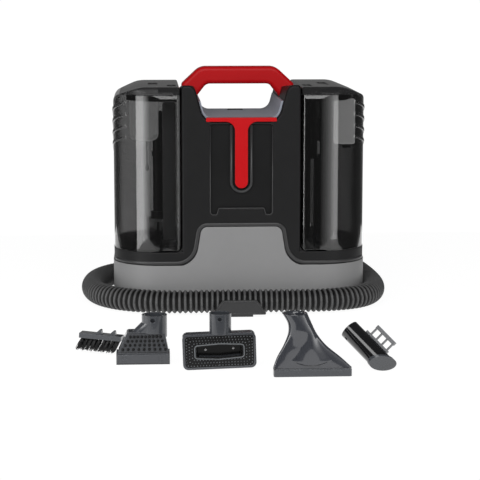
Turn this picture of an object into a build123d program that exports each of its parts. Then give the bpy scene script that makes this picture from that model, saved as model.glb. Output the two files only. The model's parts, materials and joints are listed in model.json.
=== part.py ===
"""A portable carpet and upholstery cleaner with its hose, spray wand and five loose tools.

Millimetres. +X is to the machine's right seen from the front, +Y is to the back, +Z is up.
The origin is the middle of the footprint, on the floor.
"""

from build123d import *

import math
import os

# ---- clearances and common walls
FIT = 0.3  # between pieces that are assembled or slide past each other
RUNNING = 0.06  # radial play of a shaft in its bearing
WALL = 3.0  # casing and cover wall
TANK_WALL = 2.5

# ---- base
BASE_WIDTH = 330.0
BASE_DEPTH = 200.0
BASE_CORNER = 64.0
HANDLE_TOP = 308.5  # overall height
CASING_BOTTOM = 4.0
CASING_TOP = 58.0
FOOT_RADIUS = 9.0
FOOT_HEIGHT = 5.0
FOOT_X, FOOT_Y = 105.0, 70.0
PAN_THICK = 3.0
APRON_TOP = 108.0  # top of the raised front of the casing
APRON_TOP_HALF = 51.0
APRON_FOOT_HALF = 59.2
APRON_TOP_ROUND = 9.0
APRON_FLARE = 28.0  # radius of the sweep from the apron into the casing's rim
SCREW_X, SCREW_Y = 135.0, 40.0
SCREW_SHANK = 1.8
SCREW_HEAD = 4.0
BOSS_RADIUS = 5.0

# ---- covers: the black column between the tanks and the band under them
BAND_INSET = 1.0
BAND_TOP = 75.0
COLUMN_HALF = 76.0
ARM_TOP = HANDLE_TOP - 19.5
ARM_INNER = COLUMN_HALF - 16.3  # half width of the notch between the arms, at their tops
NOTCH_HALF = ARM_INNER - 12.2  # the same at the floor of the notch
NOTCH_FLOOR = ARM_TOP - 46.0
NOTCH_ROUND = 18.0
ARM_ROUND = 4.5
ARM_INNER_ROUND = 11.0
ARM_SLOPE = 4.5  # degrees that the arms' tops fall towards the back
COVE = 8.0  # round between the column and the band, under the tanks
EDGE_ROUND = 3.0

# ---- front panel and inlay
PANEL_HALF = NOTCH_HALF - 8.0
PANEL_TOP = NOTCH_FLOOR - 4.0
PANEL_BOTTOM = 123.5
LEDGE_HALF = PANEL_HALF - 10.5
LEDGE_TOP = PANEL_BOTTOM + 8.5
PANEL_ROUND = 4.0
WINDOW_BEVEL = 1.6
STEM_HALF = 8.2
STEM_BOTTOM = 158.0
LIP_GAP = 3.1
LIP_WIDTH = 3.0
LIP_PROUD = 0.8
INLAY_THICK = 1.7
INLAY_BAR_HALF = NOTCH_HALF - 2.5
INLAY_FLARE = 12.0
INLAY_DEPTH = 8.3

# ---- deck, button and handle
DECK_THICK = 4.0
DECK_BACK = 75.0
DECK_SIDE = 2.4  # wall of the collar up the sides of the notch
DECK_SIDE_TOP = ARM_TOP - 20.5
BUTTON_WIDTH, BUTTON_DEPTH = 20.4, 13.4
BUTTON_Y = 55.0
BUTTON_PROUD = 1.0
BUTTON_TRAVEL = 2.0
HANDLE_HALF = COLUMN_HALF - 2.0
HANDLE_TOP_HALF = HANDLE_HALF - 24.0
HANDLE_SHOULDER = HANDLE_TOP - 22.5
HANDLE_FOOT = ARM_TOP - 33.0
GRIP_HALF = HANDLE_TOP_HALF - 8.5  # half width of the flat top of the hand opening
GRIP_FOOT_HALF = HANDLE_HALF - 14.0
GRIP_SHOULDER = HANDLE_TOP - 46.0
HANDLE_DEPTH = 30.0
HANDLE_WALL = 2.5
HANDLE_ROUND = 5.0

# ---- tanks
TANK_INNER = COLUMN_HALF + 2.0  # X of the tank wall beside the column
TANK_INSET = 1.5
TANK_BOTTOM = BAND_TOP + FIT
TANK_OUTER = BASE_WIDTH / 2 - TANK_INSET  # X of the tank's outer wall
TANK_TOP = ARM_TOP - 3.0
TANK_SEAM = TANK_TOP - 10.0
TANK_INNER_ROUND = 5.0  # plan corners beside the column
SHOULDER_X = TANK_OUTER - 32.5  # where the lid's flat top and its falling shoulder would meet
SHOULDER_DROP = 13.0
SHOULDER_SIDE_ROUND = 12.0
SHOULDER_TOP_ROUND = 50.0
LID_FRONT_ROUND = 16.0
FORMS_APART = 0.05  # the tank is three crossed forms, whose flat sides lie this far apart
RIB_HEIGHTS = (TANK_TOP - 80.0, TANK_TOP - 66.0, TANK_TOP - 51.0, TANK_TOP - 36.0)
RIB_SLOPE = 16.0
RIB_PROUD = 1.1
RIB_THICK = 4.0
MOUTH_LEFT = TANK_INNER + TANK_WALL + FIT + 0.2  # the seal's footprint inside the tank's mouth
MOUTH_RIGHT = TANK_OUTER - 17.0
MOUTH_HALF = BASE_DEPTH / 2 - 8.0
MOUTH_CORNER = min(50.0, MOUTH_RIGHT - MOUTH_LEFT - 10.0)
SEAL_DEPTH = 8.0
SEAL_WIDTH = 3.0
LID_FLANGE = 2.2

TANK_MIDDLE = (TANK_INNER + TANK_OUTER) / 2
VALVE_X, VALVE_Y = 14.75 - TANK_MIDDLE, 20.0
VALVE_RADIUS = 15.0
VALVE_TOP = 104.0
VALVE_NECK = 9.7
POPPET_STEM = 3.0
CUP_X, CUP_Y, CUP_RADIUS, CUP_BOTTOM = -TANK_MIDDLE - 3.25, -30.0, 19.0, TANK_TOP - 73.0
TUBE_RADIUS, TUBE_TOP = 6.5, TANK_TOP - 38.0
DUCT_X, DUCT_Y, DUCT_SIDE, DUCT_TOP = TANK_MIDDLE - 4.75, 14.0, 22.0, TANK_TOP - 24.0
DUCT_NECK = 9.7
BAFFLE_X, BAFFLE_BOTTOM, BAFFLE_REACH = TANK_MIDDLE + 13.25, TANK_TOP - 71.0, 9.0
CAGE_X, CAGE_Y, CAGE_RADIUS, CAGE_BOTTOM = TANK_INNER + 19.0, -40.0, 11.0, TANK_TOP - 96.0
FLOAT_RADIUS, FLOAT_HEIGHT = 9.2, 20.0
PORT_Y, PORT_Z, PORT_RADIUS = 12.0, TANK_TOP - 60.0, 9.0

# ---- inside the column
MOTOR_Y = 10.0
PEDESTAL_RADIUS = 48.0  # the tube moulded on the pan that carries the motor
PEDESTAL_WALL = 4.0
MOTOR_RADIUS = 45.0
FAN_RADIUS = 58.0
FAN_TOP = NOTCH_FLOOR - 31.0
MOTOR_TOP = FAN_TOP - 32.0
MOTOR_BOTTOM = MOTOR_TOP - 70.0
SHAFT_RADIUS = 4.0
GRILLE_HALF, GRILLE_LOW, GRILLE_HIGH = 32.0, 92.0, 118.0
PUMP_X, PUMP_Y = VALVE_X, -5.0
PUMP_TOP = 44.0

# ---- hose and its fittings
HOSE_RADIUS = 15.0
HOSE_BORE = 12.0
PORT_X = -18.0
HOSE_PORT_Z = 20.0
ELBOW_RADIUS = 11.5
CUFF_RADIUS = 17.5
CUFF_LENGTH = 18.0
HOSE_START = (-42.0, 130.0, HOSE_PORT_Z)
WAND_FOOT = (58.4, 138.0, 108.6)  # where the hose ends in the wand's cuff
HOSE_POINTS = [
    HOSE_START,
    (-126.6, 130.0, 15.6),
    (-194.0, 62.6, 15.3),
    (-194.0, -62.6, 15.6),
    (-126.6, -130.0, 16.6),
    (-5.0, -131.5, 17.8),
    (123.4, -130.0, 16.6),
    (182.0, -71.4, 15.6),
    (182.0, 71.4, 15.3),
    (122.0, 138.0, 45.0),
    WAND_FOOT,
]
CLIP_X = -5.0
CLIP_TOP_HALF, CLIP_FOOT_HALF = 22.0, 34.5
CLIP_LOW, CLIP_HIGH = 3.4, 21.6
CLIP_THICK = 3.8
CLIP_BACK = -147.4
TONGUE_HALF, TONGUE_LOW, TONGUE_THICK = 17.0, 0.6, 1.6

# ---- wand, along its own axis from the hose's end
CUFF_WAND = 24.0
GRIP_RADIUS = 15.0
GRIP_END = 104.0
HEAD_RADIUS = 19.0
HEAD_END = 150.0
NOSE_RADIUS = 10.0
NOSE_END = 172.0
BORE_RADIUS = 7.5
PIVOT_X, PIVOT_Z = -17.0, 113.0
TRIGGER_TIP_X, TRIGGER_TIP_Z = -28.0, 67.0
TRIGGER_HALF = 5.0
PIN_RADIUS = 1.5
LATCH_Z, LATCH_RADIUS, LATCH_TRAVEL = 134.0, 5.0, 2.0
HOLDER_LOW, HOLDER_HIGH = 30.0, 54.0

# ---- loose tools, standing on the floor in front
SOCKET_BORE = 10.3
BRUSH_AT = (-126.0, -396.0)
INSERT_AT = (-174.5, -347.0)
PET_AT = (-43.0, -430.0)
NOZZLE_AT = (55.0, -465.0)
RINSE_AT = (131.0, -455.0, 11.6)


def box(x0, x1, y0, y1, z0, z1):
    """An axis-aligned block between two corners."""
    middle = Pos((x0 + x1) / 2, (y0 + y1) / 2, (z0 + z1) / 2)
    return middle * Box(x1 - x0, y1 - y0, z1 - z0)


def rod(x, y, z0, z1, radius):
    """An upright cylinder."""
    return Pos(x, y, (z0 + z1) / 2) * Cylinder(radius, z1 - z0)


def tube(x, y, z0, z1, outer, inner):
    """An upright tube, open at both ends."""
    return rod(x, y, z0, z1, outer) - rod(x, y, z0, z1, inner)


def outline(points, radii):
    """A closed flat outline with one corner radius for each point."""
    return make_face(FilletPolyline(*points, radius=radii, close=True))


def mirrored(half_points, half_radii):
    """An outline symmetric about X = 0 from its right half, listed from the bottom up."""
    left_points = [(-x, z) for x, z in reversed(half_points)]
    return outline(half_points + left_points, half_radii + half_radii[::-1])


def raised(sketch, low, high):
    """A plan outline extruded from Z = low to Z = high."""
    return extrude(Pos(0, 0, low) * sketch, amount=high - low)


def fronted(sketch, back, front):
    """A front-view outline, in X and Z, extruded from Y = back forwards to Y = front."""
    return extrude(Plane.XZ.offset(-back) * sketch, amount=back - front)


def sided(sketch, left, right):
    """A side-view outline, in Y and Z, extruded from X = left to X = right."""
    return extrude(Plane.YZ.offset(left) * sketch, amount=right - left)


def plan(inset):
    """The machine's footprint, drawn in by an inset."""
    return RectangleRounded(BASE_WIDTH - 2 * inset, BASE_DEPTH - 2 * inset, BASE_CORNER - inset)


def four(x, y):
    """The four mirrored places of one point."""
    return [(sx * x, sy * y) for sx in (-1, 1) for sy in (-1, 1)]


# ------------------------------------------------------------------ base


def apron_outline(grow):
    """The raised front of the casing, seen from the front."""
    half = [
        (BASE_WIDTH / 2 - BASE_CORNER - 6, CASING_TOP - WALL * 2),
        (BASE_WIDTH / 2 - BASE_CORNER - 6, CASING_TOP - 1),
        (APRON_FOOT_HALF, CASING_TOP - 1),
        (APRON_TOP_HALF, APRON_TOP),
    ]
    sketch = mirrored(half, [0, 0, APRON_FLARE, APRON_TOP_ROUND])
    return offset(sketch, amount=grow) if grow else sketch


def base_parts():
    """The lower casing, its pan, feet, hose clip and screws."""
    front = -BASE_DEPTH / 2
    casing = raised(plan(0), CASING_BOTTOM, CASING_TOP) - raised(plan(WALL), CASING_BOTTOM, CASING_TOP)
    casing += fronted(apron_outline(0), front + WALL, front)
    port_hole = Pos(PORT_X, -front, HOSE_PORT_Z) * Rot(90, 0, 0) * Cylinder(ELBOW_RADIUS + FIT, 30)
    casing -= port_hole
    pan_top = FOOT_HEIGHT + PAN_THICK
    pan = raised(plan(WALL + FIT), FOOT_HEIGHT, pan_top)
    pan += tube(0, MOTOR_Y, pan_top, MOTOR_BOTTOM, PEDESTAL_RADIUS, PEDESTAL_RADIUS - PEDESTAL_WALL)
    screws = []
    for x, y in four(SCREW_X, SCREW_Y):
        pan -= rod(x, y, FOOT_HEIGHT, pan_top, SCREW_SHANK + FIT)
        head = rod(x, y, FOOT_HEIGHT - 2, FOOT_HEIGHT, SCREW_HEAD)
        screws.append(head + rod(x, y, FOOT_HEIGHT, FOOT_HEIGHT + 16, SCREW_SHANK))
    clip, clip_screws = hose_clip()
    for screw in clip_screws:
        pan -= rod(screw.center().X, screw.center().Y, FOOT_HEIGHT, pan_top, SCREW_SHANK + FIT)
    feet = [rod(x, y, 0, FOOT_HEIGHT, FOOT_RADIUS) for x, y in four(FOOT_X, FOOT_Y) + [(0, 0)]]
    return {
        "base_casing": casing,
        "base_pan": pan,
        "rubber_feet": Compound(children=feet),
        "base_screws": Compound(children=screws + clip_screws),
        "front_hose_clip": clip,
    }


def hose_clip():
    """The trapezoid plate in front of the hose, on a tongue that runs under the base."""
    half = [(CLIP_FOOT_HALF, CLIP_LOW), (CLIP_TOP_HALF, CLIP_HIGH)]
    face = mirrored(half, [1.5, 4.0])
    plate = fronted(face, CLIP_BACK, CLIP_BACK - CLIP_THICK)
    plate -= fronted(offset(face, amount=-2.2), CLIP_BACK - CLIP_THICK + 1, CLIP_BACK - CLIP_THICK)
    heel_top = CLIP_LOW + 1.5
    heel = box(-TONGUE_HALF, TONGUE_HALF, CLIP_BACK - CLIP_THICK + 1.2, CLIP_BACK + 1, TONGUE_LOW, heel_top)
    heel -= box(-TONGUE_HALF, TONGUE_HALF, CLIP_BACK, CLIP_BACK + 1, TONGUE_LOW + TONGUE_THICK, heel_top)
    tongue_end = -BASE_DEPTH / 2 + 40
    tongue = box(-TONGUE_HALF, TONGUE_HALF, CLIP_BACK, tongue_end, TONGUE_LOW, TONGUE_LOW + TONGUE_THICK)
    pad = box(-TONGUE_HALF, TONGUE_HALF, tongue_end - 34, tongue_end, TONGUE_LOW, FOOT_HEIGHT)
    clip = plate + heel + tongue + pad
    screws = []
    for x in (-9, 9):
        y = tongue_end - 14
        clip -= rod(x, y, TONGUE_LOW, FOOT_HEIGHT, SCREW_SHANK + FIT)
        clip -= rod(x, y, TONGUE_LOW, TONGUE_LOW + 2, SCREW_HEAD)
        head = rod(x, y, TONGUE_LOW + 0.3, TONGUE_LOW + 2, SCREW_HEAD - FIT)
        screws.append(Pos(CLIP_X, 0, 0) * (head + rod(x, y, TONGUE_LOW + 2, 12, SCREW_SHANK)))
    return Pos(CLIP_X, 0, 0) * clip, screws


# ------------------------------------------------------------------ covers


def column_outline():
    """The column with its two arms, seen from the front."""
    half = [
        (COLUMN_HALF, CASING_TOP),
        (COLUMN_HALF, ARM_TOP),
        (ARM_INNER, ARM_TOP),
        (NOTCH_HALF, NOTCH_FLOOR),
    ]
    return mirrored(half, [0, ARM_ROUND, ARM_INNER_ROUND, NOTCH_ROUND])


def notch_fill(lift, gap):
    """What fills the notch above a lift from its floor, a gap clear of its sides, seen from the front."""
    splay = (ARM_INNER - NOTCH_HALF) * lift / (ARM_TOP - NOTCH_FLOOR)
    half = [(NOTCH_HALF + splay - gap, NOTCH_FLOOR + lift), (ARM_INNER - gap, ARM_TOP)]
    return mirrored(half, [NOTCH_ROUND - lift, 0])


def under_slope(drop):
    """All that lies below the arms' tops, which fall towards the back, drawn down by a drop."""
    front_edge = Pos(0, BAND_INSET - BASE_DEPTH / 2, ARM_TOP - drop)
    reach = 4 * BASE_DEPTH
    return front_edge * Rot(-ARM_SLOPE, 0, 0) * Pos(0, 0, -reach / 2) * Box(reach, reach, reach)


def panel_window():
    """The opening in the front cover that shows the panel, with a ledge at its foot."""
    half = [
        (LEDGE_HALF, LEDGE_TOP),
        (LEDGE_HALF + 2, PANEL_BOTTOM),
        (PANEL_HALF, PANEL_BOTTOM),
        (PANEL_HALF, PANEL_TOP),
    ]
    return mirrored(half, [2.2, 2.2, PANEL_ROUND, PANEL_ROUND])


def cover_shell():
    """Both covers as one shell, before it is split."""
    face = BASE_DEPTH / 2 - BAND_INSET
    column = fronted(column_outline(), face, -face)
    edges = column.edges().filter_by(lambda e: abs(abs(e.center().Y) - face) < 0.01)
    column = fillet([e for e in edges if e.center().Z > CASING_TOP + 1], EDGE_ROUND) & under_slope(0)
    band = raised(plan(BAND_INSET), CASING_TOP, BAND_TOP)
    solid = column + band
    cove = box(-COLUMN_HALF - COVE, COLUMN_HALF + COVE, EDGE_ROUND - face, face - EDGE_ROUND,
               BAND_TOP, BAND_TOP + COVE)
    for side in (-1, 1):
        cove -= Pos(side * (COLUMN_HALF + COVE), 0, BAND_TOP + COVE) * Rot(90, 0, 0) * Cylinder(
            COVE, 2 * face)
    solid += cove
    inner = offset(column_outline(), amount=-WALL)
    inner += Pos(0, CASING_TOP) * Rectangle(2 * (COLUMN_HALF - WALL), 4 * WALL)
    hollow = fronted(inner, face - WALL, WALL - face) & under_slope(WALL)
    hollow += raised(plan(BAND_INSET + WALL), CASING_TOP - WALL, BAND_TOP - WALL)
    solid -= hollow
    slot = HANDLE_DEPTH / 2 + FIT
    for side in (-1, 1):
        x0, x1 = sorted((side * (NOTCH_HALF + WALL + 2), side * (COLUMN_HALF - 1)))
        solid += box(x0, x1, -slot - WALL, slot + WALL, HANDLE_FOOT - WALL, HANDLE_FOOT)
    solid -= fronted(offset(handle_outline(), amount=FIT), slot, -slot) & box(
        -COLUMN_HALF, COLUMN_HALF, -slot, slot, HANDLE_FOOT, HANDLE_TOP)
    for x, y in four(SCREW_X, SCREW_Y):
        boss = rod(x, y, FOOT_HEIGHT + PAN_THICK, BAND_TOP - WALL, BOSS_RADIUS)
        bore = rod(x, y, FOOT_HEIGHT + PAN_THICK, FOOT_HEIGHT + PAN_THICK + 20, SCREW_SHANK + 0.1)
        solid += boss - bore
    solid -= rod(VALVE_X, VALVE_Y, BAND_TOP - WALL, BAND_TOP, 12)
    solid -= rod(DUCT_X, DUCT_Y, BAND_TOP - WALL, BAND_TOP, ELBOW_RADIUS + FIT)
    solid -= Pos(COLUMN_HALF, PORT_Y, PORT_Z) * Rot(0, 90, 0) * Cylinder(PORT_RADIUS, 4 * WALL)
    return solid


def cover_parts():
    """The front and rear covers, split across the middle, and what is set into them."""
    shell = cover_shell()
    face = BASE_DEPTH / 2 - BAND_INSET
    big = BASE_WIDTH
    front = shell & box(-big, big, -big, 0, 0, 2 * big)
    rear = shell & box(-big, big, 0, big, 0, 2 * big)
    front -= fronted(panel_window(), WALL - face, -face - 1)
    rim = [e for e in front.edges() if abs(e.center().Y + face) < 0.01
           and abs(e.center().X) < PANEL_HALF + 0.1 and PANEL_BOTTOM - 0.1 < e.center().Z < PANEL_TOP + 0.1]
    front = chamfer(rim, WINDOW_BEVEL)
    front -= fronted(apron_outline(FIT), 2 * WALL - face, -face - 2)
    grille_hole = box(-GRILLE_HALF, GRILLE_HALF, face - WALL, face, GRILLE_LOW, GRILLE_HIGH)
    rear -= grille_hole
    rear -= box(-BUTTON_WIDTH / 2 - FIT, BUTTON_WIDTH / 2 + FIT, BUTTON_Y - BUTTON_DEPTH / 2 - FIT,
                BUTTON_Y + BUTTON_DEPTH / 2 + FIT, NOTCH_FLOOR - WALL, NOTCH_FLOOR)
    for side in (-1, 1):
        x0, x1 = sorted((side * 15, side * 17))
        rear += box(x0, x1, BUTTON_Y - 10, BUTTON_Y + 10, NOTCH_FLOOR - 18, NOTCH_FLOOR - WALL)
    return {
        "front_cover": front,
        "rear_cover": rear,
        "front_panel": front_panel(face),
        "t_inlay": inlay(face),
        "exhaust_grille": grille(face),
        "cable_grommet": grommet(face),
        "outlet_seal": Pos(COLUMN_HALF + 0.8, PORT_Y, PORT_Z) * Rot(0, 90, 0) * (
            Cylinder(PORT_RADIUS + 4, 1.6) - Cylinder(PORT_RADIUS + 0.2, 1.6)),
    }


def stem_outline(grow):
    """The inlay's stem with its round end, grown outwards and open at the top."""
    half = STEM_HALF + grow
    return mirrored([(half, STEM_BOTTOM - grow), (half, PANEL_TOP)], [half - 0.05, 0])


def front_panel(face):
    """The plate behind the window, with the raised lip round the inlay's stem."""
    inside = WALL - face
    plate = box(-PANEL_HALF - 4, PANEL_HALF + 4, inside, inside + WALL, PANEL_BOTTOM - 3, PANEL_TOP + 0.7)
    lip = fronted(stem_outline(LIP_GAP + LIP_WIDTH), inside, -face - LIP_PROUD)
    lip -= fronted(stem_outline(LIP_GAP) + Pos(0, PANEL_TOP) * Rectangle(2 * (STEM_HALF + LIP_GAP), 4),
                   inside, -face - LIP_PROUD - 1)
    rib = box(-STEM_HALF + 3, STEM_HALF - 3, -face, inside, STEM_BOTTOM + 6, PANEL_TOP - 1)
    return plate + (lip & box(-99, 99, -face - 5, inside, 0, PANEL_TOP - FIT)) + rib


def inlay(face):
    """The T on the front: a bar along the deck's edge and a stem down the panel."""
    bar_top = NOTCH_FLOOR + DECK_THICK + 1
    front = -face - FIT - INLAY_THICK
    half = [
        (STEM_HALF, STEM_BOTTOM),
        (STEM_HALF, NOTCH_FLOOR),
        (INLAY_BAR_HALF, NOTCH_FLOOR),
        (INLAY_BAR_HALF, bar_top),
    ]
    tee = mirrored(half, [STEM_HALF - 0.05, INLAY_FLARE, 1.0, 1.5])
    plate = fronted(tee, -face - FIT, front)
    bar = fronted(notch_fill(0, FIT), front + INLAY_DEPTH, -face - FIT)
    return plate + (bar & box(1 - INLAY_BAR_HALF, INLAY_BAR_HALF - 1, -2 * face, 0, NOTCH_FLOOR, bar_top))


def grille(face):
    """The exhaust grille: a flange inside the wall and a slatted face in its window."""
    flange = box(-GRILLE_HALF - 4, GRILLE_HALF + 4, face - 2 * WALL, face - WALL,
                 GRILLE_LOW - 4, GRILLE_HIGH + 4)
    plug = box(FIT - GRILLE_HALF, GRILLE_HALF - FIT, face - WALL, face - 0.5,
               GRILLE_LOW + FIT, GRILLE_HIGH - FIT)
    body = flange + plug
    for k in range(4):
        low = GRILLE_LOW + 4 + 5.5 * k
        body -= box(4 - GRILLE_HALF, GRILLE_HALF - 4, face - 3 * WALL, face, low, low + 2.6)
    return body


def grommet(face):
    """The inlet for the mains cord, low on the rear cover."""
    turn = Pos(45, face, 84) * Rot(-90, 0, 0)
    return turn * (Pos(0, 0, 4) * Cylinder(7, 8) - Pos(0, 0, 5) * Cylinder(3.2, 6))


# ------------------------------------------------------------------ deck, button, handle


def deck_parts():
    """The collar that lines the notch under the handle, the power button and its switch."""
    deck_front = -BASE_DEPTH / 2 + BAND_INSET - FIT - INLAY_THICK + INLAY_DEPTH + FIT
    top = NOTCH_FLOOR + DECK_THICK
    trough = notch_fill(DECK_THICK, FIT + DECK_SIDE)
    deck = fronted(notch_fill(0, FIT) - trough, DECK_BACK, deck_front)
    deck &= box(-COLUMN_HALF, COLUMN_HALF, deck_front, DECK_BACK, NOTCH_FLOOR, DECK_SIDE_TOP)
    hole = (BUTTON_WIDTH / 2 + FIT, BUTTON_DEPTH / 2 + FIT)
    deck -= box(-hole[0], hole[0], BUTTON_Y - hole[1], BUTTON_Y + hole[1], NOTCH_FLOOR, top)
    button_top = top + BUTTON_PROUD
    flange_top = NOTCH_FLOOR - WALL - FIT
    cap = Pos(0, BUTTON_Y) * RectangleRounded(BUTTON_WIDTH, BUTTON_DEPTH, 2)
    button = raised(cap, flange_top - 2, button_top)
    button += box(-12.5, 12.5, BUTTON_Y - 8.5, BUTTON_Y + 8.5, flange_top - 2, flange_top)
    switch_top = flange_top - 2 - BUTTON_TRAVEL - FIT
    switch = box(-15, 15, BUTTON_Y - 11, BUTTON_Y + 11, switch_top - 12, switch_top)
    return {"deck_collar": deck, "power_button": button, "switch_body": switch}


def handle_outline():
    """The carry handle with its two feet, seen from the front."""
    half = [
        (GRIP_HALF, HANDLE_SHOULDER),
        (GRIP_FOOT_HALF, GRIP_SHOULDER),
        (GRIP_FOOT_HALF, HANDLE_FOOT),
        (HANDLE_HALF, HANDLE_FOOT),
        (HANDLE_HALF, HANDLE_SHOULDER),
        (HANDLE_TOP_HALF, HANDLE_TOP),
    ]
    return mirrored(half, [10.0, 5.0, 0, 0, 5.0, 20.0])


def handle_parts():
    """The handle as a front and a rear shell, held together by two screws."""
    half_depth = HANDLE_DEPTH / 2
    front = fronted(handle_outline(), 0, -half_depth)
    face_edges = front.edges().filter_by(lambda e: abs(e.center().Y + half_depth) < 0.01)
    front = fillet([e for e in face_edges if e.center().Z > HANDLE_FOOT + 1], HANDLE_ROUND)
    inner = offset(handle_outline(), amount=-HANDLE_WALL)
    front -= fronted(inner, 0, HANDLE_WALL - half_depth)
    rear = mirror(front, about=Plane.XZ)
    screws = []
    middle = (HANDLE_SHOULDER + HANDLE_TOP) / 2
    for x in (-25, 25):
        turn = Pos(x, 0, middle) * Rot(-90, 0, 0)
        front += turn * Pos(0, 0, -half_depth / 2 - 0.5) * Cylinder(4, half_depth - 1)
        front -= turn * Pos(0, 0, -5) * Cylinder(SCREW_SHANK + 0.1, 10)
        rear += turn * Pos(0, 0, half_depth / 2 - 1) * Cylinder(5.5, half_depth - 2)
        rear -= turn * Pos(0, 0, 5) * Cylinder(SCREW_SHANK + FIT, 10)
        rear -= turn * Pos(0, 0, half_depth - 2) * Cylinder(SCREW_HEAD + FIT, 8)
        shank = turn * Pos(0, 0, 0.5) * Cylinder(SCREW_SHANK, 17)
        screws.append(shank + turn * Pos(0, 0, half_depth - 5) * Cylinder(SCREW_HEAD, 2))
    return {
        "handle_front_shell": front,
        "handle_rear_shell": rear,
        "handle_screws": Compound(children=screws),
    }


# ------------------------------------------------------------------ tanks


def tank_plan(inset):
    """The right-hand tank's footprint, drawn in by an inset."""
    x0, x1 = TANK_INNER + inset, TANK_OUTER - inset
    y = BASE_DEPTH / 2 - TANK_INSET - inset
    corner, small = BASE_CORNER - TANK_INSET - inset, TANK_INNER_ROUND - inset
    return outline([(x0, -y), (x1, -y), (x1, y), (x0, y)], [small, corner, corner, small])


def tank_envelope(inset):
    """The right-hand tank with its lid as one solid form, drawn in by an inset."""
    low, high = TANK_BOTTOM + inset, TANK_TOP - inset
    x0, x1 = TANK_INNER + inset - FORMS_APART, TANK_OUTER - inset + FORMS_APART
    y = BASE_DEPTH / 2 - TANK_INSET - inset + FORMS_APART
    under, over = low - FORMS_APART, high + FORMS_APART
    front = outline(
        [(x0, low), (x1, low), (x1, high - SHOULDER_DROP), (SHOULDER_X, high), (x0, high)],
        [COVE, 3.0, SHOULDER_SIDE_ROUND - inset, SHOULDER_TOP_ROUND, 3.0])
    side = outline(
        [(-y, under), (y, under), (y, over), (-y, over)],
        [3.0, 3.0, LID_FRONT_ROUND - inset, LID_FRONT_ROUND - inset])
    seen = fronted(front, 2 * y, -2 * y) & sided(side, 0, 2 * x1)
    return raised(tank_plan(inset), low - 1, high + 1) & seen


def grip_ribs():
    """Four slanted finger ribs round the front outer corner of the right-hand tank."""
    low, high = RIB_HEIGHTS[0] - 30, RIB_HEIGHTS[-1] + 30
    skin = raised(tank_plan(-RIB_PROUD), low, high) - raised(tank_plan(0.5), low, high)
    ribs = None
    for height in RIB_HEIGHTS:
        slab = Pos(155, -35, height + 4) * Rot(-RIB_SLOPE, 0, 0) * Box(24, 92, RIB_THICK)
        rib = skin & slab
        ribs = rib if ribs is None else ribs + rib
    return ribs


def tank_pair():
    """The tank body, lid and lid seal on the right-hand side, without their fittings."""
    outer, inner = tank_envelope(0), tank_envelope(TANK_WALL)
    big = BASE_WIDTH
    below = box(0, big, -big, big, 0, TANK_SEAM)
    above = box(0, big, -big, big, TANK_SEAM + FIT, 2 * big)
    tank = (outer - inner) & below
    tank += grip_ribs()
    lid = (outer - inner) & above
    mouth = outline(
        [(MOUTH_LEFT, -MOUTH_HALF), (MOUTH_RIGHT, -MOUTH_HALF), (MOUTH_RIGHT, MOUTH_HALF),
         (MOUTH_LEFT, MOUTH_HALF)],
        [6.0, MOUTH_CORNER, MOUTH_CORNER, 6.0])
    hole = offset(mouth, amount=-SEAL_WIDTH)
    flange = (outer & above) & box(0, big, -big, big, 0, TANK_SEAM + FIT + LID_FLANGE)
    lid += flange - raised(hole, TANK_SEAM, TANK_TOP - 4)
    slot = Pos(112, -16) * RectangleRounded(12, 60, 5)
    lid -= raised(slot, TANK_TOP - 1.2, TANK_TOP + 1)
    dash = Pos(88, -52) * RectangleRounded(11, 40, 4)
    lid -= raised(dash, TANK_TOP - 1.2, TANK_TOP + 1)
    seal = raised(mouth, TANK_SEAM - SEAL_DEPTH, TANK_SEAM + FIT)
    seal -= raised(hole, TANK_SEAM - SEAL_DEPTH, TANK_SEAM + FIT)
    return tank, lid, seal, inner


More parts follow.
